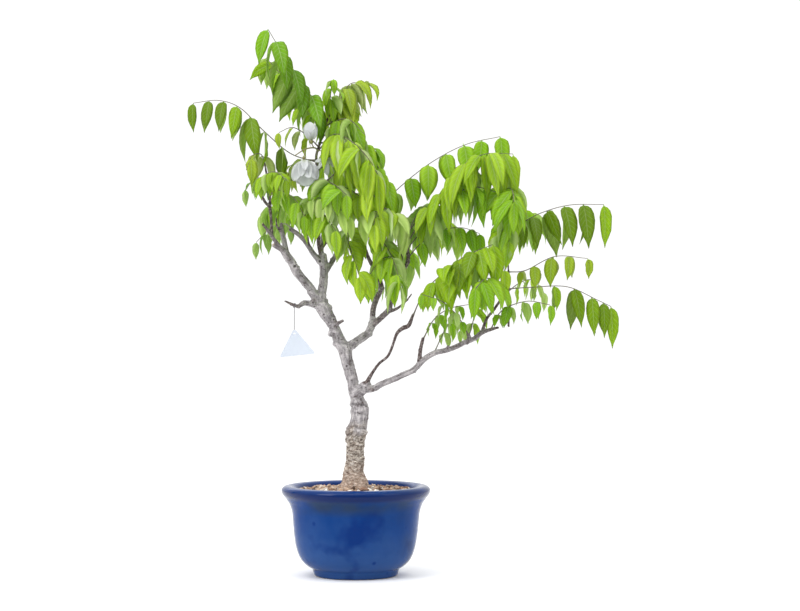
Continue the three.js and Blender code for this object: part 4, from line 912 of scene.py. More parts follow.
def hanging_blade(spot, hand, draw, change, length, width):
    """How one leaflet hangs from its node, or from the stalk's end where hand is 0."""
    along, side, above = spot["along"], spot["side"], spot["above"]
    (high_x, high_z), (low_x, low_z) = STALK_CORNERS
    root = (spot["centre"] + side * (hand * spot["half"] * mix(high_x, low_x, 0.5))
        + above * (spot["half"] * mix(high_z, low_z, 0.5)))
    lean = min(draw["droop"] + change[1], MOST_DROOP)
    if hand == 0:
        heading = (along * max(0.4, 0.3 + 0.9 * along[2]) - UP * 0.9
            + side * (draw["swing"] + change[0]))
        face = along * 0.8 + UP * 0.4
    else:
        heading = (side * (hand * math.cos(lean)) - UP * math.sin(lean)
            + along * (0.15 + draw["swing"] + change[0]))
        face = side * (hand * math.sin(lean)) + UP * math.cos(lean)
    heading = unit(heading)
    face = turned(unit(face - heading * np.dot(face, heading)), heading, draw["twist"])
    return Blade(root, heading, face, length, width, draw["bend"], hand)


def grow_leaflets():
    """Every frond's leaflets, placed in turn as in the solids: {frond name: its blades}."""
    taken = Taken()
    for points in BRANCHES.values():
        curve, count = Route(points), 8 * (len(points) - 1)
        for i in range(count + 1):
            spot, r = curve.at(i / count), curve.radius(i / count)
            taken.put("wood", spot, r, r + WOOD_CLEAR)
    for name, _, _, _, _, route in FRONDS:
        curve = Route(route)
        for i in range(STALK_STEPS + 1):
            taken.put(name, curve.at(i / STALK_STEPS), 1, STALK_CLEAR)
    taken.put_blooms(BLOOM_CLEAR)
    for points in RACEME:
        for i in range(13):
            taken.put("raceme", Route(points).at(i / 12), 1, STALK_CLEAR)
    grown = {}
    for number, frond in enumerate(FRONDS):
        name, _, pairs, length, width, _ = frond
        dice = Dice(FIRST_SEED + number)
        frames = stalk_frames(frond)
        nodes = [spot for spot in frames if spot["is_node"]]
        places = [(spot, hand, i / pairs) for i, spot in enumerate(nodes) for hand in (1, -1)]
        grown[name] = []
        for spot, hand, share in [*places, (frames[-1], 0, 1)]:
            size = mix(0.82, 1.08, dice.roll()) * (0.72 + 0.28 * bow(share))
            draw = dice.hang(0.22, 1.12, 0.28, 0.5, (0.04, 0.2))
            blade = taken.hang_free(name, spot, hand, draw, length * size, width * size,
                SPOT_CLEAR)
            if blade:
                blade.share = share
                grown[name].append(blade)
    return grown


# Tools for meshes


def only(*objects):
    """Selects these objects alone and makes the first one active."""
    bpy.ops.object.select_all(action="DESELECT")
    for each in objects:
        each.select_set(True)
    if objects:
        bpy.context.view_layer.objects.active = objects[0]


def placed(points):
    """Points in millimetres as places in the scene, in metres."""
    return AXIS + MM * np.asarray(points, float)


def points_of(obj):
    """A mesh's points as an array."""
    found = np.empty(len(obj.data.vertices) * 3)
    obj.data.vertices.foreach_get("co", found)
    return found.reshape(-1, 3)


def move_points(obj, points):
    obj.data.vertices.foreach_set("co", np.ascontiguousarray(points, float).ravel())
    obj.data.update()


def give_points(obj, name, kind, field, values):
    """Gives each point of a mesh its own value, which materials read by name."""
    layer = obj.data.attributes.new(name, kind, "POINT")
    layer.data.foreach_set(field, np.ravel(values))


def edit(obj, *steps):
    """Runs edit-mode steps on the whole mesh."""
    only(obj)
    bpy.ops.object.mode_set(mode="EDIT")
    bpy.ops.mesh.select_all(action="SELECT")
    for step in steps:
        step()
    bpy.ops.object.mode_set(mode="OBJECT")


def apply_modifier(obj, kind, **settings):
    """Adds a modifier, sets it and applies it."""
    only(obj)
    bpy.ops.object.modifier_add(type=kind)
    modifier = obj.modifiers[-1]
    for key, value in settings.items():
        setattr(modifier, key, value)
    bpy.ops.object.modifier_apply(modifier=modifier.name)


def join(objects, name):
    """Joins objects into one with this name."""
    only(*objects)
    if len(objects) > 1:
        bpy.ops.object.join()
    made = bpy.context.view_layer.objects.active
    made.name = made.data.name = name
    return made


def swept(name, lines, sides):
    """Round stems along lines of (x, y, z, radius) in millimetres, as one mesh with closed
    ends."""
    only()
    bpy.ops.curve.primitive_bezier_curve_add(location=(0, 0, 0))
    curve = bpy.context.object
    curve.data.splines.clear()
    for line in lines:
        spline = curve.data.splines.new("POLY")
        spline.points.add(len(line) - 1)
        for point, (x, y, z, radius) in zip(spline.points, line):
            point.co = (*placed((x, y, z)), 1)
            point.radius = radius
    curve.data.bevel_depth = MM
    curve.data.bevel_resolution = max(0, (sides - 4) // 2)
    curve.data.use_fill_caps = True
    only(curve)
    bpy.ops.object.convert(target="MESH")
    made = bpy.context.object
    made.name = made.data.name = name
    return made


def mesh_from(name, points, edges, faces):
    """A new object from points in metres, with edges or faces."""
    mesh = bpy.data.meshes.new(name)
    mesh.from_pydata([tuple(p) for p in points], edges, [tuple(f) for f in faces])
    made = bpy.data.objects.new(name, mesh)
    bpy.context.collection.objects.link(made)
    return made


def ball(subdivisions):
    """The points of a round ball of radius 1, and its faces."""
    only()
    bpy.ops.mesh.primitive_ico_sphere_add(subdivisions=subdivisions, radius=1,
        location=(0, 0, 0))
    made = bpy.context.object
    shape, faces = points_of(made), [tuple(f.vertices) for f in made.data.polygons]
    bpy.data.objects.remove(made)
    return shape, faces


def copies(name, shells, faces):
    """One mesh of many copies of a shape: the points of each one, and the faces of the first."""
    size = len(shells[0])
    every = [[v + i * size for v in face] for i in range(len(shells)) for face in faces]
    return mesh_from(name, np.concatenate(shells), [], every)


def spun(name, profile, steps):
    """A round body from a profile of (radius, height) in millimetres, spun about the pot's
    axis."""
    centre = Vector(AXIS)
    line = [(centre.x + r * MM, centre.y, z * MM) for r, z in profile]
    made = mesh_from(name, line, [(i, i + 1) for i in range(len(line) - 1)], [])
    edit(made,
        lambda: bpy.ops.mesh.spin(steps=steps, angle=math.tau, center=centre, axis=(0, 0, 1)),
        lambda: bpy.ops.mesh.select_all(action="SELECT"),
        lambda: bpy.ops.mesh.remove_doubles(threshold=1e-6),
        lambda: bpy.ops.mesh.normals_make_consistent(inside=False))
    return made


def smooth_profile(points, steps):
    """A smooth line through profile points."""
    line = Route([(r, 0, z) for r, z in points]).line(steps)
    return [(x, z) for x, _, z, _ in line]


def finish_piece(obj, materials, smooth=True):
    """Gives a piece its materials and lets it ride on the one body."""
    obj.data.materials.clear()
    for each in materials:
        obj.data.materials.append(each)
    only(obj)
    if smooth:
        bpy.ops.object.shade_smooth()
    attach(obj, "root")


# The pot


def build_pot(look):
    """The round pot with its foot ring, rolled lip and hollow, thrown and glazed."""
    foot = [(8, 12), (8, 6), (45.4, 6), (46.4, 5.4), (46.9, 1), (48, 0), (57.4, 0), (58.6, 0.7),
        (59.4, 2.4)]
    outside = [(60.2, 5), (61.4, 8.6), (62.6, 10.4), (64.8, 11.6), (69.5, 14.6), (75, 19.6),
        (79.6, 26), (83, 34), (85.6, 44), (87.4, 56), (88.7, 69), (89.6, 80), (90.8, 90), (93, 98),
        (96.4, 104.6), (100.6, 110.4), (104.2, 115), (105.6, 119.2), (104.8, 123), (101.6, 125.9),
        (97, 127), (92, 126.6), (87.6, 124.4), (84.2, 120), (82.4, 113), (81.8, 106)]
    inside = [(80.9, 72), (78, 44), (73, 28), (58, 13), (8, 12)]
    pot = spun("pot_fine", foot + smooth_profile(outside, 3) + inside, 128)
    points = points_of(pot)
    offset = points - AXIS
    radius = np.linalg.norm(offset[:, :2], axis=1)
    # Hand-thrown wobble of a few tenths of a millimetre, with none at the foot and the drain hole
    for i, (x, y, z) in enumerate(offset):
        if z > 0.008 and radius[i] > 0.06:
            ring = noise.noise(Vector((0, 0, z * 210))) * 0.25
            sway = noise.noise(Vector((x * 14, y * 14, z * 16))) * 0.9
            points[i, :2] += offset[i, :2] / radius[i] * MM * (ring + sway) * look.wobble
    move_points(pot, points)
    finish_piece(pot, [glaze_material(look), clay_material()])
    # The foot ring's tread and the underside are bare clay
    for face in pot.data.polygons:
        spot = face.center - Vector(AXIS)
        in_foot_ring = spot.xy.length < 0.047 and spot.z < 0.008
        face.material_index = int(spot.z < 0.0006 or in_foot_ring)
    only(pot)
    bpy.ops.object.shade_smooth_by_angle(angle=math.radians(50))
    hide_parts("pot")


# The soil and its grit


def scatter_grains(rng):
    """Places (x, y) and radii of grains that lie side by side, the large ones first."""
    spots, sizes = [], []
    for low, high, tries in GRAIN_SIZES:
        for _ in range(tries):
            r, angle = GRIT_R * math.sqrt(rng.random()), rng.random() * math.tau
            size = rng.uniform(low, high)
            x, y = r * math.cos(angle), r * math.sin(angle)
            # None sticks into the pot's wall or the foot of the trunk, 1 mm right of the axis
            if r + size > GRIT_R + 0.1 or math.hypot(x - 1, y) < FOOT_R + size:
                continue
            if spots:
                gaps = np.hypot(np.array(spots)[:, 0] - x, np.array(spots)[:, 1] - y)
                if (gaps < 0.8 * (np.array(sizes) + size)).any():
                    continue
            spots.append((x, y))
            sizes.append(size)
    return spots, sizes


def build_soil(look):
    """The bed of earth that fills the pot, and the loose grit that lies on it."""
    profile = [(8, 12.4), (57.6, 13.3), (72.5, 28.4), (80.5, 72), (81.4, 106), (82, 112),
        (83.2, 118), (78, 118.8), (70, 119), (60, 119.4), (50, 119.9), (40, 120.6), (30, 121.3),
        (20, 122), (10, 122.2), (0, 122.2), (0, 12.4), (8, 12.4)]
    bed = spun("earth_fine", profile, 96)
    apply_modifier(bed, "SUBSURF", levels=1, render_levels=1, subdivision_type="SIMPLE")
    points = points_of(bed)
    for i, (x, y, z) in enumerate(points - AXIS):
        if z > 0.1145 and math.hypot(x, y) < 0.08:
            points[i, 2] += MM * 1.3 * noise.noise(Vector((x * 120, y * 120, 0)))
    move_points(bed, points)
    finish_piece(bed, [earth_material()])

    # One grain is modelled and copied with its own size, turn and stretch
    shape, faces = ball(1)
    rng = np.random.default_rng(GRIT_SEED)
    spots, sizes = scatter_grains(rng)
    # Height of the earth under a grain by its distance from the axis
    heights = [(0, 122.4), (26, 121.8), (39, 121), (56, 120), (74, 119.2), (84, 118.8)]
    palette, odds = [linear(code) for code, _ in GRAINS], [odd for _, odd in GRAINS]
    shells, tones = [], []
    for (x, y), size in zip(spots, sizes):
        top = np.interp(math.hypot(x, y), *zip(*heights))
        turn = Matrix.Rotation(rng.random() * math.tau, 3,
            Vector(rng.normal(size=3)).normalized())
        lumps = shape * (1 + rng.uniform(-0.24, 0.24, (len(shape), 1)))
        stretch = np.array([rng.uniform(0.75, 1.3), rng.uniform(0.75, 1.2),
            rng.uniform(0.5, 0.9)])
        local = (lumps * stretch) @ np.array(turn).T * size * look.grain
        shells.append(placed((x, y, top + size * rng.uniform(0.0, 0.35))) + local * MM)
        tone = np.array(palette[rng.choice(len(palette), p=odds)]) * rng.uniform(0.8, 1.15)
        tones.append(np.tile([*np.clip(tone, 0, 1), 1], (len(shape), 1)))
    grit = copies("grit_fine", shells, faces)
    colours = grit.data.color_attributes.new("grit_colour", "FLOAT_COLOR", "POINT")
    colours.data.foreach_set("color", np.concatenate(tones).ravel())
    finish_piece(grit, [grit_material()], smooth=False)
    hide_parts("soil")
    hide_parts("soil")


# The wood


def stem_lines():
    """The centre lines of the branches, spurs and roots, as points (x, y, z, radius)."""
    lines = [Route(points).line(6, STOUT.get(name, 1)) for name, points in BRANCHES.items()]
    # Below 156 mm the foot flares up to 3.2 mm more to the left than the plain solid
    lines[0] = [(x - 3.2 * held((156 - z) / 20), y, z, radius) for x, y, z, radius in lines[0]]
    return lines + [Route(points).line(3) for points in SPURS + ROOTS]


def bark_bumps(lines):
    """Knobs half sunk in the bark, the buds that fronds leave from, and small warts."""
    spots = np.array([p[:3] for line in lines for p in line])
    bumps = []
    for x, y, z, radius in KNOBS:
        near = spots[np.argmin(np.linalg.norm(spots - (x, y, z), axis=1))]
        bumps.append((*mix(np.array([x, y, z], float), near, 0.3), 0.8 * radius))
    bumps += [(*route[0], BUD_R) for _, _, _, _, _, route in FRONDS + SPRIGS]
    rng = np.random.default_rng(WART_SEED)
    for line in lines[:len(BRANCHES)]:
        for x, y, z, radius in line[2::4]:
            aim = unit(rng.normal(size=3))
            slim = held((6 - radius) / 4)
            bumps.append((*(np.array([x, y, z]) + aim * radius * mix(0.78, 0.5, slim)),
                radius * rng.uniform(0.3, 0.5) * (1 + 0.75 * slim) + 0.3))
    return bumps


def stem_facts(lines):
    """Every point of the lines: its place, its width, and its way, which is a frame that slides
    along the stem without turning about it (side, above, heading) and the distance gone."""
    spots, widths, ways = [], [], []
    for name, line in zip(list(BRANCHES) + ["side"] * len(lines), lines):
        line = np.array(line)
        spots += line[:, :3].tolist()
        # Young wood counts as slimmer, which makes it smooth and brown
        widths += (line[:, 3] - (YOUNG_SLIMMER if name in YOUNG_WOOD else 0)).tolist()
        headings = np.gradient(line[:, :3], axis=0)
        headings /= np.linalg.norm(headings, axis=1)[:, None]
        steps = np.linalg.norm(np.diff(line[:, :3], axis=0), axis=1)
        side = np.array([0.3, 1.0, 0.1])
        for heading, gone in zip(headings, np.concatenate([[0], np.cumsum(steps)])):
            side = unit(side - heading * np.dot(side, heading))
            ways.append((*side, *np.cross(heading, side), *heading, gone))
    return spots, widths, np.array(ways)


def scar_eyes(spots, widths):
    """Where the eyes of old side shoots lie on the front of the stems, with their radii."""
    stems = np.column_stack([spots, widths])
    eyes = []
    for x, z, radius in SCARS:
        aside = np.hypot(stems[:, 0] - x, stems[:, 2] - z)
        stem = stems[np.argmin(aside - stems[:, 3])]
        depth = math.sqrt(max(0.1, stem[3] ** 2 - min(aside.min(), 0.9 * stem[3]) ** 2))
        eyes.append((np.array([x, stem[1] - depth, z]), radius))
    return eyes


def build_wood(look):
    """Trunk, limbs and twigs grown into one skin, with rings, knobs, buds, cracks and sawn
    ends."""
    lines = stem_lines()
    stems = swept("wood_fine", lines, 14)
    shape, faces = ball(2)
    shells = [placed((x, y, z)) + shape * radius * MM for x, y, z, radius in bark_bumps(lines)]
    wood = join([stems, copies("bumps", shells, faces)], "wood_fine")
    apply_modifier(wood, "REMESH", mode="VOXEL", voxel_size=look.skin)
    apply_modifier(wood, "SMOOTH", factor=0.6, iterations=6)

    spots, widths, ways = stem_facts(lines)
    tree = kdtree.KDTree(len(spots))
    for i, spot in enumerate(spots):
        tree.insert(spot, i)
    tree.balance()
    ends = []
    for name in CUT_ENDS:
        before, last = np.array(BRANCHES[name][-2:], float)
        ends.append((last[:3], unit(last[:3] - before[:3]), last[3]))

    points = points_of(wood)
    normals = np.array([v.normal for v in wood.data.vertices])
    offset = (points - AXIS) / MM
    girth, cut, rises, scar, hollow = np.zeros((5, len(points)))
    closest = np.zeros(len(points), int)
    # Each eye is a dimple with a rim
    for centre, radius in scar_eyes(spots, widths):
        gap = np.linalg.norm(offset - centre, axis=1) / radius
        dimple, rim = np.exp(-((gap / 0.5) ** 2)), np.exp(-(((gap - 0.95) / 0.34) ** 2))
        scar = np.maximum(scar, dimple)
        hollow += 0.28 * radius * (rim - 0.9 * dimple)
    for i, (spot, normal) in enumerate(zip(offset, normals)):
        close = [n[1] for n in tree.find_n(spot, 3)]
        closest[i] = close[0]
        girth[i] = max(widths[n] for n in close)
        x, y, z = spot
        # Smooth bark is lumpy, and more so on thick stems: the old foot has a crust instead
        old = held((215 - z + 10 * noise.noise(Vector((x, y, z)) * 0.08)) / 12)
        thick = held((girth[i] - 1.2) / 6, 0.16)
        lumpy = noise.fractal(Vector((x, y, z * 0.8)) * 0.13, 0.9, 2.1, 4)
        streak = noise.noise(Vector((x * 0.5, y * 0.5, z * 0.11)))
        wrinkle = noise.noise(Vector((x * 0.14, y * 0.14, z * 0.6)))
        crust = noise.fractal(Vector((x * 0.24, y * 0.24, z * 0.42)), 0.7, 2.1, 4)
        bark = 0.7 * lumpy + 0.4 * streak + 0.3 * wrinkle
        rise = bark * thick * (1 - 0.5 * old) + look.crust * 1000 * crust * old + hollow[i]
        # Growth rings that stand out round the trunk, with a groove above each
        tilt = z + 0.16 * x + 2.2 * noise.noise(Vector((x, y, 7)) * 0.12)
        for ring, height in RINGS if girth[i] > RING_LEAST_GIRTH else []:
            ridge = math.exp(-(((tilt - ring) / 1.9) ** 2))
            groove = math.exp(-(((tilt - ring - 3.8) / 1.5) ** 2))
            rise += height * (ridge - 0.8 * groove) * (0.75 + 0.5 * wrinkle)
        # Sawn ends are flat, with rings 1.3 mm apart
        for end, aim, radius in ends:
            gap = spot - end
            if np.dot(gap, gap) < (1.25 * radius) ** 2 and np.dot(normal, aim) > 0.55:
                cut[i] = 1
                rise = -0.3 + 0.25 * math.sin(5 * math.sqrt(np.dot(gap, gap)))
        points[i] += normal * MM * rise
        rises[i] = rise
    move_points(wood, points)
    for name, values in (("girth", girth), ("cut", cut), ("bark_rise", rises), ("scar", scar)):
        give_points(wood, name, "FLOAT", "value", values)
    way = ways[closest]
    gap = offset - np.array(spots)[closest]
    across = [(gap * way[:, k : k + 3]).sum(1) for k in (0, 3, 6)]
    along = np.stack([across[0], across[1], across[2] + way[:, 9]], 1)
    give_points(wood, "bark_way", "FLOAT_VECTOR", "vector", along * MM)
    finish_piece(wood, [bark_material(look)])
    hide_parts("wood")


# The leaves


def flat_blade(outline, columns):
    """A unit blade: a grid shaped to its outline, doubled into an upper and a lower face, and
    closed. Its points are (across, along, side): side is 1 above, -1 below and 0 on the margin."""
    last = len(outline) - 1
    only()
    bpy.ops.mesh.primitive_grid_add(x_subdivisions=columns, y_subdivisions=last, size=1,
        location=(0, 0, 0), calc_uvs=True)
    sheet = bpy.context.object
    points = points_of(sheet)
    row = np.rint((points[:, 1] + 0.5) * last).astype(int)
    points[:, 1] = np.array([share for share, _ in outline])[row]
    move_points(sheet, points)
    chart = sheet.data.uv_layers[0]
    for loop in sheet.data.loops:
        x, y, _ = sheet.data.vertices[loop.vertex_index].co
        chart.data[loop.index].uv = (x + 0.5, y)
    edit(sheet, lambda: bpy.ops.mesh.duplicate(), lambda: bpy.ops.mesh.flip_normals())
    points = points_of(sheet)
    x, y, _ = points.T
    margin = (np.abs(x) > 0.499) | (y < 1e-6) | (y > 1 - 1e-6)
    points[:, 2] = np.where(np.arange(len(points)) < len(points) // 2, 1, -1) * ~margin
    points[:, 0] *= np.interp(y, *zip(*outline))
    move_points(sheet, points)
    edit(sheet, lambda: bpy.ops.mesh.remove_doubles(threshold=1e-5))
    mesh = sheet.data
    uv = np.empty(len(mesh.loops) * 2)
    mesh.uv_layers[0].data.foreach_get("uv", uv)
    blank = {"points": points_of(sheet), "faces": [tuple(f.vertices) for f in mesh.polygons],
        "below": [int(f.normal.z < 0) for f in mesh.polygons], "uv": uv.reshape(-1, 2)}
    bpy.data.objects.remove(sheet)
    return blank


def shaped_blade(blank, blade, thick, fold, wave, curl, twist, phase, hang=0.0):
    """The unit blade laid along one leaflet or petal, in metres. Hang is how far it sinks towards
    the plumb line on its way to the tip."""
    x, s, side = blank["points"].T
    steps = np.linspace(0, 1, 21)
    sunk = (hang * np.sqrt(steps))[:, None]
    headings = blade.heading * (1 - sunk) - UP * sunk
    headings /= np.linalg.norm(headings, axis=1)[:, None]
    gone = np.cumsum((headings[1:] + headings[:-1]) / 2, axis=0)
    middle = np.vstack([np.zeros(3), gone]) * blade.length / 20
    heading = np.stack([np.interp(s, steps, headings[:, k]) for k in range(3)], 1)
    spine = np.stack([np.interp(s, steps, middle[:, k]) for k in range(3)], 1)
    face = blade.face - heading * (heading @ blade.face)[:, None]
    face /= np.linalg.norm(face, axis=1)[:, None]
    across = np.cross(face, heading)
    cos, sin = np.cos(twist * s)[:, None], np.sin(twist * s)[:, None]
    right, front = across * cos + face * sin, face * cos - across * sin
    edge = np.abs(x) / 0.5
    sag = blade.bend * blade.length * s * s + curl * blade.length * np.clip(s - 0.6, 0, 1) ** 2
    # It is twice as thick at its foot, where it joins the stalk
    lift = (fold * np.abs(x) * blade.width
        + wave * edge**2 * np.sin(s * 15 + phase + 2.2 * np.sign(x))
        + side * mix(2.2 * thick, thick, np.clip(s * 8, 0, 1)))
    return placed(blade.root + spine - face * sag[:, None] + right * (x * blade.width)[:, None]
        + front * lift[:, None])


def many_blades(name, blank, shapes, tints):
    """One mesh of many shaped blades, with their chart and tint."""
    made = copies(name, shapes, blank["faces"])
    chart = made.data.uv_layers.new(name="blade")
    chart.data.foreach_set("uv", np.tile(blank["uv"], (len(shapes), 1)).ravel())
    made.data.polygons.foreach_set("material_index", np.tile(blank["below"], len(shapes)))
    give_points(made, "leaf_tint_and_light", "FLOAT", "value", np.repeat(tints, len(shapes[0])))
    return made


def fill_leaflets(grown, share):
    """More leaflets between the ones that the solids have, where there is space:
    {frond name: blades}."""
    taken = Taken()
    for blades in grown.values():
        for blade in blades:
            taken.put("leaf", blade.middle(0.5), blade.reach(), FILL_CLEAR, blade.spots())
    for points in BRANCHES.values():
        for x, y, z, radius in Route(points).line(8):
            taken.put("wood", (x, y, z), radius, radius + FILL_WOOD_CLEAR)
    taken.put_blooms(FILL_BLOOM_CLEAR)
    more = {}
    for number, frond in enumerate(FRONDS + SPRIGS):
        name, _, pairs, length, width, route = frond
        dice = Dice(FILL_SEED + number)
        frames = stalk_frames(frond)
        nodes = [spot for spot in frames if spot["is_node"]]
        curve = Route(route)
        more[name] = []
        step = (1 - BARE_STALK) / pairs
        # A frond of the solids gets more between its pairs, and a further one all its pairs
        if number < len(FRONDS):
            hands = (1, -1, 1, -1)
            places = [(spot, hand, mix(0.3, 0.75, dice.roll())) for spot in nodes for hand in hands]
        else:
            places = [(spot, hand, 0) for spot in nodes for hand in (1, -1)]
            places.append((frames[-1], 0, 0))
        for spot, hand, shift in places:
            t = min(0.985, spot["t"] + step * shift)
            along = curve.along(t)
            side = unit(spot["side"] - along * np.dot(spot["side"], along))
            between = dict(spot, t=t, centre=curve.at(t), along=along, side=side,
                above=np.cross(side, along))
            size = mix(0.8, 1.04, dice.roll())
            draw = dice.hang(0.4, 1.1, 0.4, 0.6, (0.05, 0.22))
            if shift and (dice.roll() > share or name in OPEN_FRONDS):
                continue
            blade = taken.hang_free(name, between, hand, draw, length * size, width * size,
                FILL_CLEAR)
            if blade:
                blade.share = min(0.35, (t - BARE_STALK) / (1 - BARE_STALK))
                more[name].append(blade)
    return more


def turn_to_light(name, blade, rng):
    """Turns a leaflet about its own length, so that its upper face looks out of the crown to the
    front or the back, and lets the ones near the tip of a frond grow to their full size, but not
    on a young frond."""
    out = np.array([0.2 * np.sign(blade.root[0] - 40), -1.0 if blade.root[1] < 20 else 1.0, 0.25])
    face = blade.face + out * rng.uniform(0.0, 1.6)
    # One in six shows its underside
    if rng.random() < 0.16:
        face = blade.face - out * rng.uniform(0.6, 1.4)
    if blade.hand == 0:
        # The last leaflet droops below the end of its stalk
        blade.heading = unit(blade.heading - 1.6 * UP)
        face = out + 0.3 * face
    blade.face = unit(face - blade.heading * np.dot(face, blade.heading))
    longer, wider = REACH.get(name, (1.04, 1.06))
    if name not in YOUNG_TIPS:
        full = bow(blade.share)
        longer *= (0.92 + 0.08 * full) / (0.72 + 0.28 * full)
        wider *= (0.9 + 0.1 * full) / (0.72 + 0.28 * full)
    first = mix(FIRST_PAIRS.get(name, 1), 1, min(1, blade.share / 0.45))
    blade.length *= longer * first
    blade.width *= wider * first


def build_leaves(look):
    """The feathery leaves: each is a stalk with pairs of leaflets and one at its end."""
    blank = flat_blade(LEAF_OUTLINE, 4)
    stalk = stalk_material("leaf_stalk_skin", "#625E42", "#5E4E4A")
    skins = {}
    for tone, (greens, shine, through) in LEAF_TONES.items():
        upper = leaf_material(f"{tone}_leaf_skin", greens, shine, through)
        under = leaf_material(f"{tone}_leaf_underside", UNDERSIDES[tone], UNDERSIDE_ROUGHNESS,
            through, True)
        skins[tone] = [upper, under, stalk]
    grown = grow_leaflets()
    more = fill_leaflets(grown, look.fullness)
    for number, (name, tone, _, _, _, route) in enumerate(FRONDS + SPRIGS):
        rng = np.random.default_rng(LEAF_SEED + number)
        shapes, tints = [], []
        # Painted light: a frond inside the crown gets a paler tint, which lifts the shade it lies
        # in
        frond_tint_and_light = rng.uniform(0.15, 0.6) + TINTS_AND_PAINTED_LIGHT.get(name, 0)
        for blade in grown.get(name, []) + more[name]:
            turn_to_light(name, blade, rng)
            # Young leaflets are more folded
            fold = rng.uniform(0.15, 0.6) * (1.3 if tone in ("olive", "pale") else 1)
            hang = look.hang if blade.hand else 0.5 * (1 + look.hang)
            shapes.append(shaped_blade(blank, blade, look.thickness * 500, fold,
                rng.uniform(0.3, 1.2), rng.uniform(-0.3, 0.5), rng.uniform(-0.5, 0.5),
                rng.uniform(0, 6), hang))
            tints.append(np.clip(frond_tint_and_light + rng.normal(0, 0.2), -1.1, 1))
        leaflets = many_blades(f"leaves_{name}", blank, shapes, tints)
        curve = Route(route)
        length = curve.length()
        line = []
        for t in (i / STALK_STEPS for i in range(STALK_STEPS + 1)):
            # The stalk swells over the first millimetres, where it leaves the twig
            foot = 0.75 * math.exp(-t * length / 4)
            line.append((*curve.at(t), mix(0.85, 0.45, t) + foot))
        stem = swept(f"stalk_{name}", [line], 6)
        for face in stem.data.polygons:
            face.material_index = 2
        # Both hold the same materials before the join, which otherwise forgets which face has which
        for half in (leaflets, stem):
            for skin in skins[tone]:
                half.data.materials.append(skin)
        frond = join([leaflets, stem], f"leaves_{name}")
        indexes = [f.material_index for f in frond.data.polygons]
        finish_piece(frond, skins[tone])
        frond.data.polygons.foreach_set("material_index", indexes)
        if name in grown:
            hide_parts(f"frond_{name}")


# The flowers


def build_flowers(look):
    """The flower stalk with its cups, and three white pea flowers."""
    parts = [swept("raceme_fine", [Route(points).line(8) for points in RACEME], 8)]
    for _, foot, aim, _, _ in BLOOMS:
        only()
        bpy.ops.mesh.primitive_uv_sphere_add(segments=12, ring_count=8, radius=CALYX_R * MM,
            location=(0, 0, 0))
        cup = bpy.context.object
        points = points_of(cup)
        # The cup opens towards the flower, with five short teeth
        around = np.arctan2(points[:, 1], points[:, 0])
        high = points[:, 2] > 0.0006
        points[high, 2] += MM * (0.5 + 0.6 * np.cos(5 * around[high]))
        points[:, :2] *= np.interp(points[:, 2] / MM, (-2.6, 0, 3), (0.85, 1.0, 0.95))[:, None]
        turn = Vector(UP).rotation_difference(Vector(unit(np.array(aim, float)))).to_matrix()
        move_points(cup, points @ np.array(turn).T + placed(foot))
        parts.append(cup)
    raceme = join(parts, "raceme_fine")
    finish_piece(raceme,
        [stalk_material("flower_stalk_skin", "#7E8C3C", "#7A7048")])
    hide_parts("raceme_stalk")

    petal = petal_material(look)
    blank = flat_blade(PETAL_OUTLINE, 6)
    for number, (name, foot, aim, length, width) in enumerate(BLOOMS):
        rng = np.random.default_rng(BLOOM_SEED + number)
        aim = unit(np.array(aim, float))
        face = np.array([0.0, -1.0, 0.0])
        face = unit(face - aim * np.dot(face, aim))
        root = np.array(foot) + aim * (CALYX_R + GAP)
        shapes = []
        for turn, tilt, size, broad, fold in PETALS[name]:
            axis = np.cross(face, aim)
            heading = turned(turned(aim, face, turn), axis, tilt)
            front = turned(face, axis, tilt)
            front = unit(front - heading * np.dot(front, heading))
            blade = Blade(root, heading, front, length * size, width * broad,
                0.1 + rng.uniform(0, 0.12))
            shapes.append(shaped_blade(blank, blade, 0.2, fold, rng.uniform(0.6, 1.4),
                rng.uniform(-0.8, 0.2), rng.uniform(-0.5, 0.5), rng.uniform(0, 6)))
        bloom = many_blades(f"bloom_{name}_fine", blank, shapes, np.zeros(len(shapes)))
        finish_piece(bloom, [petal])
        bloom.data.polygons.foreach_set("material_index", [0] * len(bloom.data.polygons))
        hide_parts(f"bloom_{name}")


# The tag and its thread


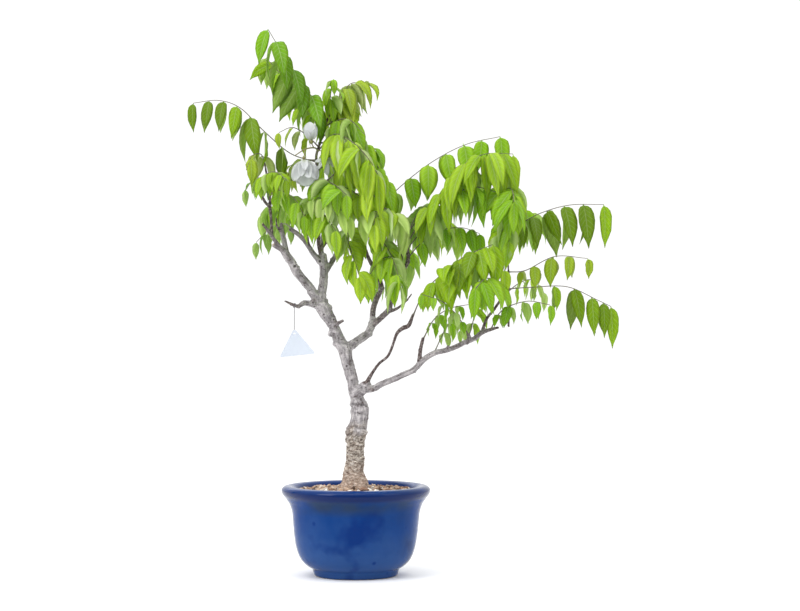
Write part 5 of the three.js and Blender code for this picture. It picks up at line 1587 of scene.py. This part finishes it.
def build_tag(look):
    """The blank three-cornered paper tag, and the thread that ties it to the twig."""
    x, y, z = TIE["at"]
    top = z - 0.5 * THREAD_D - LOOP_R - GAP
    tag_top = z - TIE["drop"] - 4
    corners = np.array(TAG_CORNERS, float)
    only()
    bpy.ops.mesh.primitive_grid_add(x_subdivisions=20, y_subdivisions=26, size=1,
        location=(0, 0, 0))
    tag = bpy.context.object
    sheet = points_of(tag)
    # The square sheet is drawn out to the tag's outline: its sides follow the slanting edges
    u, v = sheet[:, 0] + 0.5, 0.5 - sheet[:, 1]
    left, right = [np.stack([np.interp(v, (0, 0.95, 1), side[:, k]) for k in (0, 1)], 1)
        for side in (corners[[0, 5, 4]], corners[[1, 2, 3]])]
    across, down = (left + (right - left) * u[:, None]).T
    curl = (look.curl * 1000 * ((across / 26) ** 2 - 0.3) * (-down / 38)
        + 0.5 * np.sin(down * 0.13))
    move_points(tag, np.stack([x + across, y - curl, tag_top + down], 1) * MM + AXIS)
    edit(tag, lambda: bpy.ops.mesh.normals_make_consistent(inside=False))
    apply_modifier(tag, "SOLIDIFY", thickness=look.card, offset=0)
    only()
    bpy.ops.mesh.primitive_cylinder_add(vertices=24, radius=TAG_EYE_R * MM, depth=8 * MM,
        location=placed((x, y, tag_top - TAG_EYE_DOWN)), rotation=(math.pi / 2, 0, 0))
    punch = bpy.context.object
    apply_modifier(tag, "BOOLEAN", object=punch, operation="DIFFERENCE")
    bpy.data.objects.remove(punch)
    tag.name = tag.data.name = "tag_fine"
    finish_piece(tag, [card_material(look)], smooth=False)
    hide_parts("tag")

    thread_look = thread_material()
    drop = top - tag_top - GAP
    line = [(x, y, top - drop * i / 96, THREAD_D / 2) for i in range(97)]
    thread = swept("thread_fine", [line], 12)
    offset = points_of(thread) - placed((x, y, 0))
    angle = np.arctan2(offset[:, 1], offset[:, 0])
    # Two strands wound round each other leave a waist between them
    waist = 0.78 + 0.22 * np.abs(np.cos(angle + offset[:, 2] / MM * math.pi / STRAND_TURN))
    offset[:, :2] *= waist[:, None]
    move_points(thread, placed((x, y, 0)) + offset)
    finish_piece(thread, [thread_look])
    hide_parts("tag_thread")

    only()
    turn = Vector(UP).rotation_difference(Vector(unit(np.array(TIE["along"], float)))).to_euler()
    bpy.ops.mesh.primitive_torus_add(major_radius=LOOP_R * MM, minor_radius=THREAD_D / 2 * MM,
        major_segments=40, minor_segments=10, location=placed(TIE["at"]), rotation=turn)
    loop = bpy.context.object
    bpy.ops.object.transform_apply(location=True, rotation=True, scale=True)
    only()
    bpy.ops.mesh.primitive_ico_sphere_add(subdivisions=2, radius=KNOT_R * MM,
        location=placed((x, y, top + 0.75)))
    knot = bpy.context.object
    bpy.ops.object.transform_apply(location=True, rotation=True, scale=True)
    loop = join([loop, knot], "loop_fine")
    finish_piece(loop, [thread_look])
    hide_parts("tag_loop")


# The stage


def hold(name, data, spot):
    """A new object at a place in millimetres for a lamp's or a camera's data."""
    made = bpy.data.objects.new(name, data)
    bpy.context.collection.objects.link(made)
    made.location = Vector(placed(spot))
    return made


def build_stage(look):
    """A white floor, soft studio light and the camera of the photograph."""
    only()
    # The floor ends a little in front of the pot, so that the glaze mirrors the dim side beyond
    bpy.ops.mesh.primitive_plane_add(size=look.floor_size,
        location=(0, look.floor_size / 2 - FLOOR_FRONT, -0.2 * MM))
    floor = bpy.context.object
    floor.name = "floor"
    made, tree, place = start_material("matt_white_floor")
    cloudy = add(tree, "TexNoise", {0: place, "Scale": 2, "Detail": 2})
    shade = add(tree, "MapRange", {0: cloudy, 3: 0.95, 4: 0.97})
    colour = add(tree, "CombineColor", {0: shade, 1: shade, 2: shade})
    shader = add(tree, "BsdfPrincipled", {"Base Color": colour, "Roughness": 0.9})
    add(tree, "OutputMaterial", {0: shader}, None)
    floor.data.materials.append(made)

    scene = bpy.context.scene
    world = bpy.data.worlds.new("studio")
    world.use_nodes = True
    # White all round, but dark low down on the side of the camera, with a dark bar on the left
    tree, sky = world.node_tree, world.node_tree.nodes["Background"]
    way = add(tree, "SeparateXYZ", {0: add(tree, "TexCoord", out="Generated")}, None).outputs
    front = add(tree, "MapRange", {0: way["Y"], 1: -0.85, 2: -0.3, 3: 0.5, 4: 0})
    low = add(tree, "MapRange", {0: way["Z"], 1: 0.2, 2: 0.5, 3: 1, 4: 0})
    dim_side = add(tree, "Math", {0: front, 1: low}, operation="MULTIPLY")
    strip = add(tree, "Math", {0: way["Y"], 1: 0.41, 2: 0.045}, operation="COMPARE")
    left = add(tree, "Math", {0: way["X"], 1: -0.3}, operation="LESS_THAN")
    bar = add(tree, "Math", {0: strip, 1: left}, operation="MULTIPLY")
    dim = add(tree, "Math", {0: bar, 1: dim_side}, operation="MAXIMUM")
    above = add(tree, "MapRange", {0: way["Z"], 1: 0.5, 2: 1, 3: look.sky, 4: look.sky + 0.3})
    lit = add(tree, "Math", {0: dim, 1: -1, 2: 1}, operation="MULTIPLY_ADD")
    strength = add(tree, "Math", {0: lit, 1: above}, operation="MULTIPLY")
    # The camera itself sees an even white
    seen = add(tree, "LightPath", out="Is Camera Ray")
    shown = add(tree, "Mix", {0: seen, 2: strength, 3: look.sky}, data_type="FLOAT")
    sky.inputs[0].default_value = (1, 1, 1, 1)
    tree.links.new(shown, sky.inputs[1])
    scene.world = world
    target = Vector(placed((40, 0, 350)))
    for name, spot, size, power in LAMPS:
        lamp = bpy.data.lights.new(name, "AREA")
        lamp.shape, lamp.energy = "RECTANGLE", power * look.light
        lamp.size, lamp.size_y = size
        holder = hold(name, lamp, spot)
        holder.rotation_euler = (target - holder.location).to_track_quat("-Z", "Y").to_euler()
    camera = bpy.data.cameras.new("camera")
    camera.lens = FOCAL_PIXELS / PHOTO_WIDTH * camera.sensor_width
    camera.clip_end = 50
    holder = hold("camera", camera, (CAMERA_RIGHT, -CAMERA_DISTANCE, CAMERA_HEIGHT))
    holder.rotation_euler = (math.pi / 2 + TILT_UP, 0, 0)
    scene.camera = holder
    scene.view_settings.view_transform = "Standard"


# Settings that a user would change


def colour_setting(name, description, code):
    return bpy.props.FloatVectorProperty(name=name, description=description, subtype="COLOR",
        size=3, min=0, max=1, default=linear(code))


def length_setting(name, description, metres):
    return bpy.props.FloatProperty(name=name, description=description, unit="LENGTH",
        default=metres, precision=5)


def share_setting(name, description, share, high=1.0):
    return bpy.props.FloatProperty(name=name, description=description, subtype="FACTOR",
        default=share, min=0, max=high)


class BonsaiStage(bpy.types.PropertyGroup):
    floor_size: length_setting("Floor", "Side of the square floor", 14.0)
    light: share_setting("Lamps", "Strength of the lamps", 1.0, 5.0)
    sky: share_setting("Sky", "Strength of the even light all round", 1.07, 5.0)


class BonsaiTag(bpy.types.PropertyGroup):
    paper: colour_setting("Paper", "White of the paper tag", "#D2DAE6")
    card: length_setting("Card", "Thickness of the paper tag", 0.0004)
    curl: length_setting("Curl", "How far the tag's corners bend", 0.0012)


class BonsaiPot(bpy.types.PropertyGroup):
    glaze: colour_setting("Glaze", "Cobalt glaze of the upper wall", "#023474")
    glaze_pale: colour_setting("Pale glaze", "Cobalt glaze towards the foot", "#2A4A80")
    glaze_deep: colour_setting("Deep glaze", "Glaze where it pools", "#00286A")
    glaze_lip: colour_setting("Lip glaze", "Thickest glaze, on the rolled lip", "#001A50")
    glaze_thin: colour_setting("Thin glaze", "Glaze under the lip, where it runs thin", "#2A3A50")
    gloss: share_setting("Roughness", "Roughness of the fired glaze", 0.08)
    wobble: share_setting("Wobble", "Unevenness of the hand-thrown wall", 1.0, 3.0)


class BonsaiGrit(bpy.types.PropertyGroup):
    grain: share_setting("Grain", "Size of the grains against the usual 2 to 8 mm", 1.0, 2.0)


class BonsaiWood(bpy.types.PropertyGroup):
    bark: colour_setting("Bark", "Grey-mauve of the smooth bark", "#A8A3A5")
    bark_pale: colour_setting("Pale bark", "Lightest patches of the smooth bark", "#CDC8C8")
    bark_dark: colour_setting("Dark bark", "Darkest patches of the smooth bark", "#5C514E")
    bark_old: colour_setting("Old bark", "Crust on the foot of the trunk", "#B3A79B")
    twig: colour_setting("Twig", "Bark of the thin twigs", "#665855")
    skin: length_setting("Skin step", "Size of the mesh steps of the bark", 0.001)
    crust: length_setting("Crust", "Depth of the cracked crust on the old bark", 0.0008)


class BonsaiLeaves(bpy.types.PropertyGroup):
    thickness: length_setting("Thickness", "Thickness of a leaflet", 0.0004)
    fullness: share_setting("Fullness", "Share of the gaps that are filled with leaflets", 0.9)
    hang: share_setting("Hang", "How far the leaflets sink towards the plumb line", 0.6)


class BonsaiFlowers(bpy.types.PropertyGroup):
    petal: colour_setting("Petal", "White of the petals", "#F0F1F3")


class BONSAI_OT_stage(bpy.types.Operator):
    """Builds the floor, lights and camera"""

    bl_idname = "bonsai.stage"
    bl_label = "Stage"

    def execute(self, context):
        build_stage(context.scene.bonsai_stage)
        return {"FINISHED"}


class BONSAI_OT_tag(bpy.types.Operator):
    """Builds the paper tag, its thread and the loop round the twig"""

    bl_idname = "bonsai.tag"
    bl_label = "Tag and thread"

    def execute(self, context):
        build_tag(context.scene.bonsai_tag)
        return {"FINISHED"}


class BONSAI_OT_pot(bpy.types.Operator):
    """Builds the glazed pot"""

    bl_idname = "bonsai.pot"
    bl_label = "Pot"

    def execute(self, context):
        build_pot(context.scene.bonsai_pot)
        return {"FINISHED"}


class BONSAI_OT_soil(bpy.types.Operator):
    """Builds the bed of earth and its grit"""

    bl_idname = "bonsai.soil"
    bl_label = "Soil and grit"

    def execute(self, context):
        build_soil(context.scene.bonsai_grit)
        return {"FINISHED"}


class BONSAI_OT_wood(bpy.types.Operator):
    """Builds the trunk, limbs and twigs"""

    bl_idname = "bonsai.wood"
    bl_label = "Wood"

    def execute(self, context):
        build_wood(context.scene.bonsai_wood)
        return {"FINISHED"}


class BONSAI_OT_leaves(bpy.types.Operator):
    """Builds every leaf with its leaflets"""

    bl_idname = "bonsai.leaves"
    bl_label = "Leaves"

    def execute(self, context):
        build_leaves(context.scene.bonsai_leaves)
        return {"FINISHED"}


class BONSAI_OT_flowers(bpy.types.Operator):
    """Builds the flower stalk and the white flowers"""

    bl_idname = "bonsai.flowers"
    bl_label = "Flowers"

    def execute(self, context):
        build_flowers(context.scene.bonsai_flowers)
        return {"FINISHED"}


# The pieces in the order in which they are built: name of the settings, their class, operator
PIECES = [
    ("bonsai_stage", BonsaiStage, BONSAI_OT_stage),
    ("bonsai_tag", BonsaiTag, BONSAI_OT_tag),
    ("bonsai_pot", BonsaiPot, BONSAI_OT_pot),
    ("bonsai_grit", BonsaiGrit, BONSAI_OT_soil),
    ("bonsai_wood", BonsaiWood, BONSAI_OT_wood),
    ("bonsai_leaves", BonsaiLeaves, BONSAI_OT_leaves),
    ("bonsai_flowers", BonsaiFlowers, BONSAI_OT_flowers),
]


class BONSAI_PT_panel(bpy.types.Panel):
    """Lists the pieces of the bonsai with their settings"""

    bl_idname = "BONSAI_PT_panel"
    bl_label = "Wisteria bonsai"
    bl_space_type = "VIEW_3D"
    bl_region_type = "UI"
    bl_category = "Bonsai"

    def draw(self, context):
        for name, group, operator in PIECES:
            self.layout.operator(operator.bl_idname)
            for key in group.__annotations__:
                self.layout.prop(getattr(context.scene, name), key)


def register():
    for name, group, operator in PIECES:
        bpy.utils.register_class(group)
        setattr(bpy.types.Scene, name, bpy.props.PointerProperty(type=group))
        bpy.utils.register_class(operator)
    bpy.utils.register_class(BONSAI_PT_panel)


def unregister():
    bpy.utils.unregister_class(BONSAI_PT_panel)
    for name, group, operator in reversed(PIECES):
        bpy.utils.unregister_class(operator)
        delattr(bpy.types.Scene, name)
        bpy.utils.unregister_class(group)


def main():
    register()
    for _, _, operator in PIECES:
        family, name = operator.bl_idname.split(".")
        getattr(getattr(bpy.ops, family), name)()


if __name__ == "__main__":
    main()
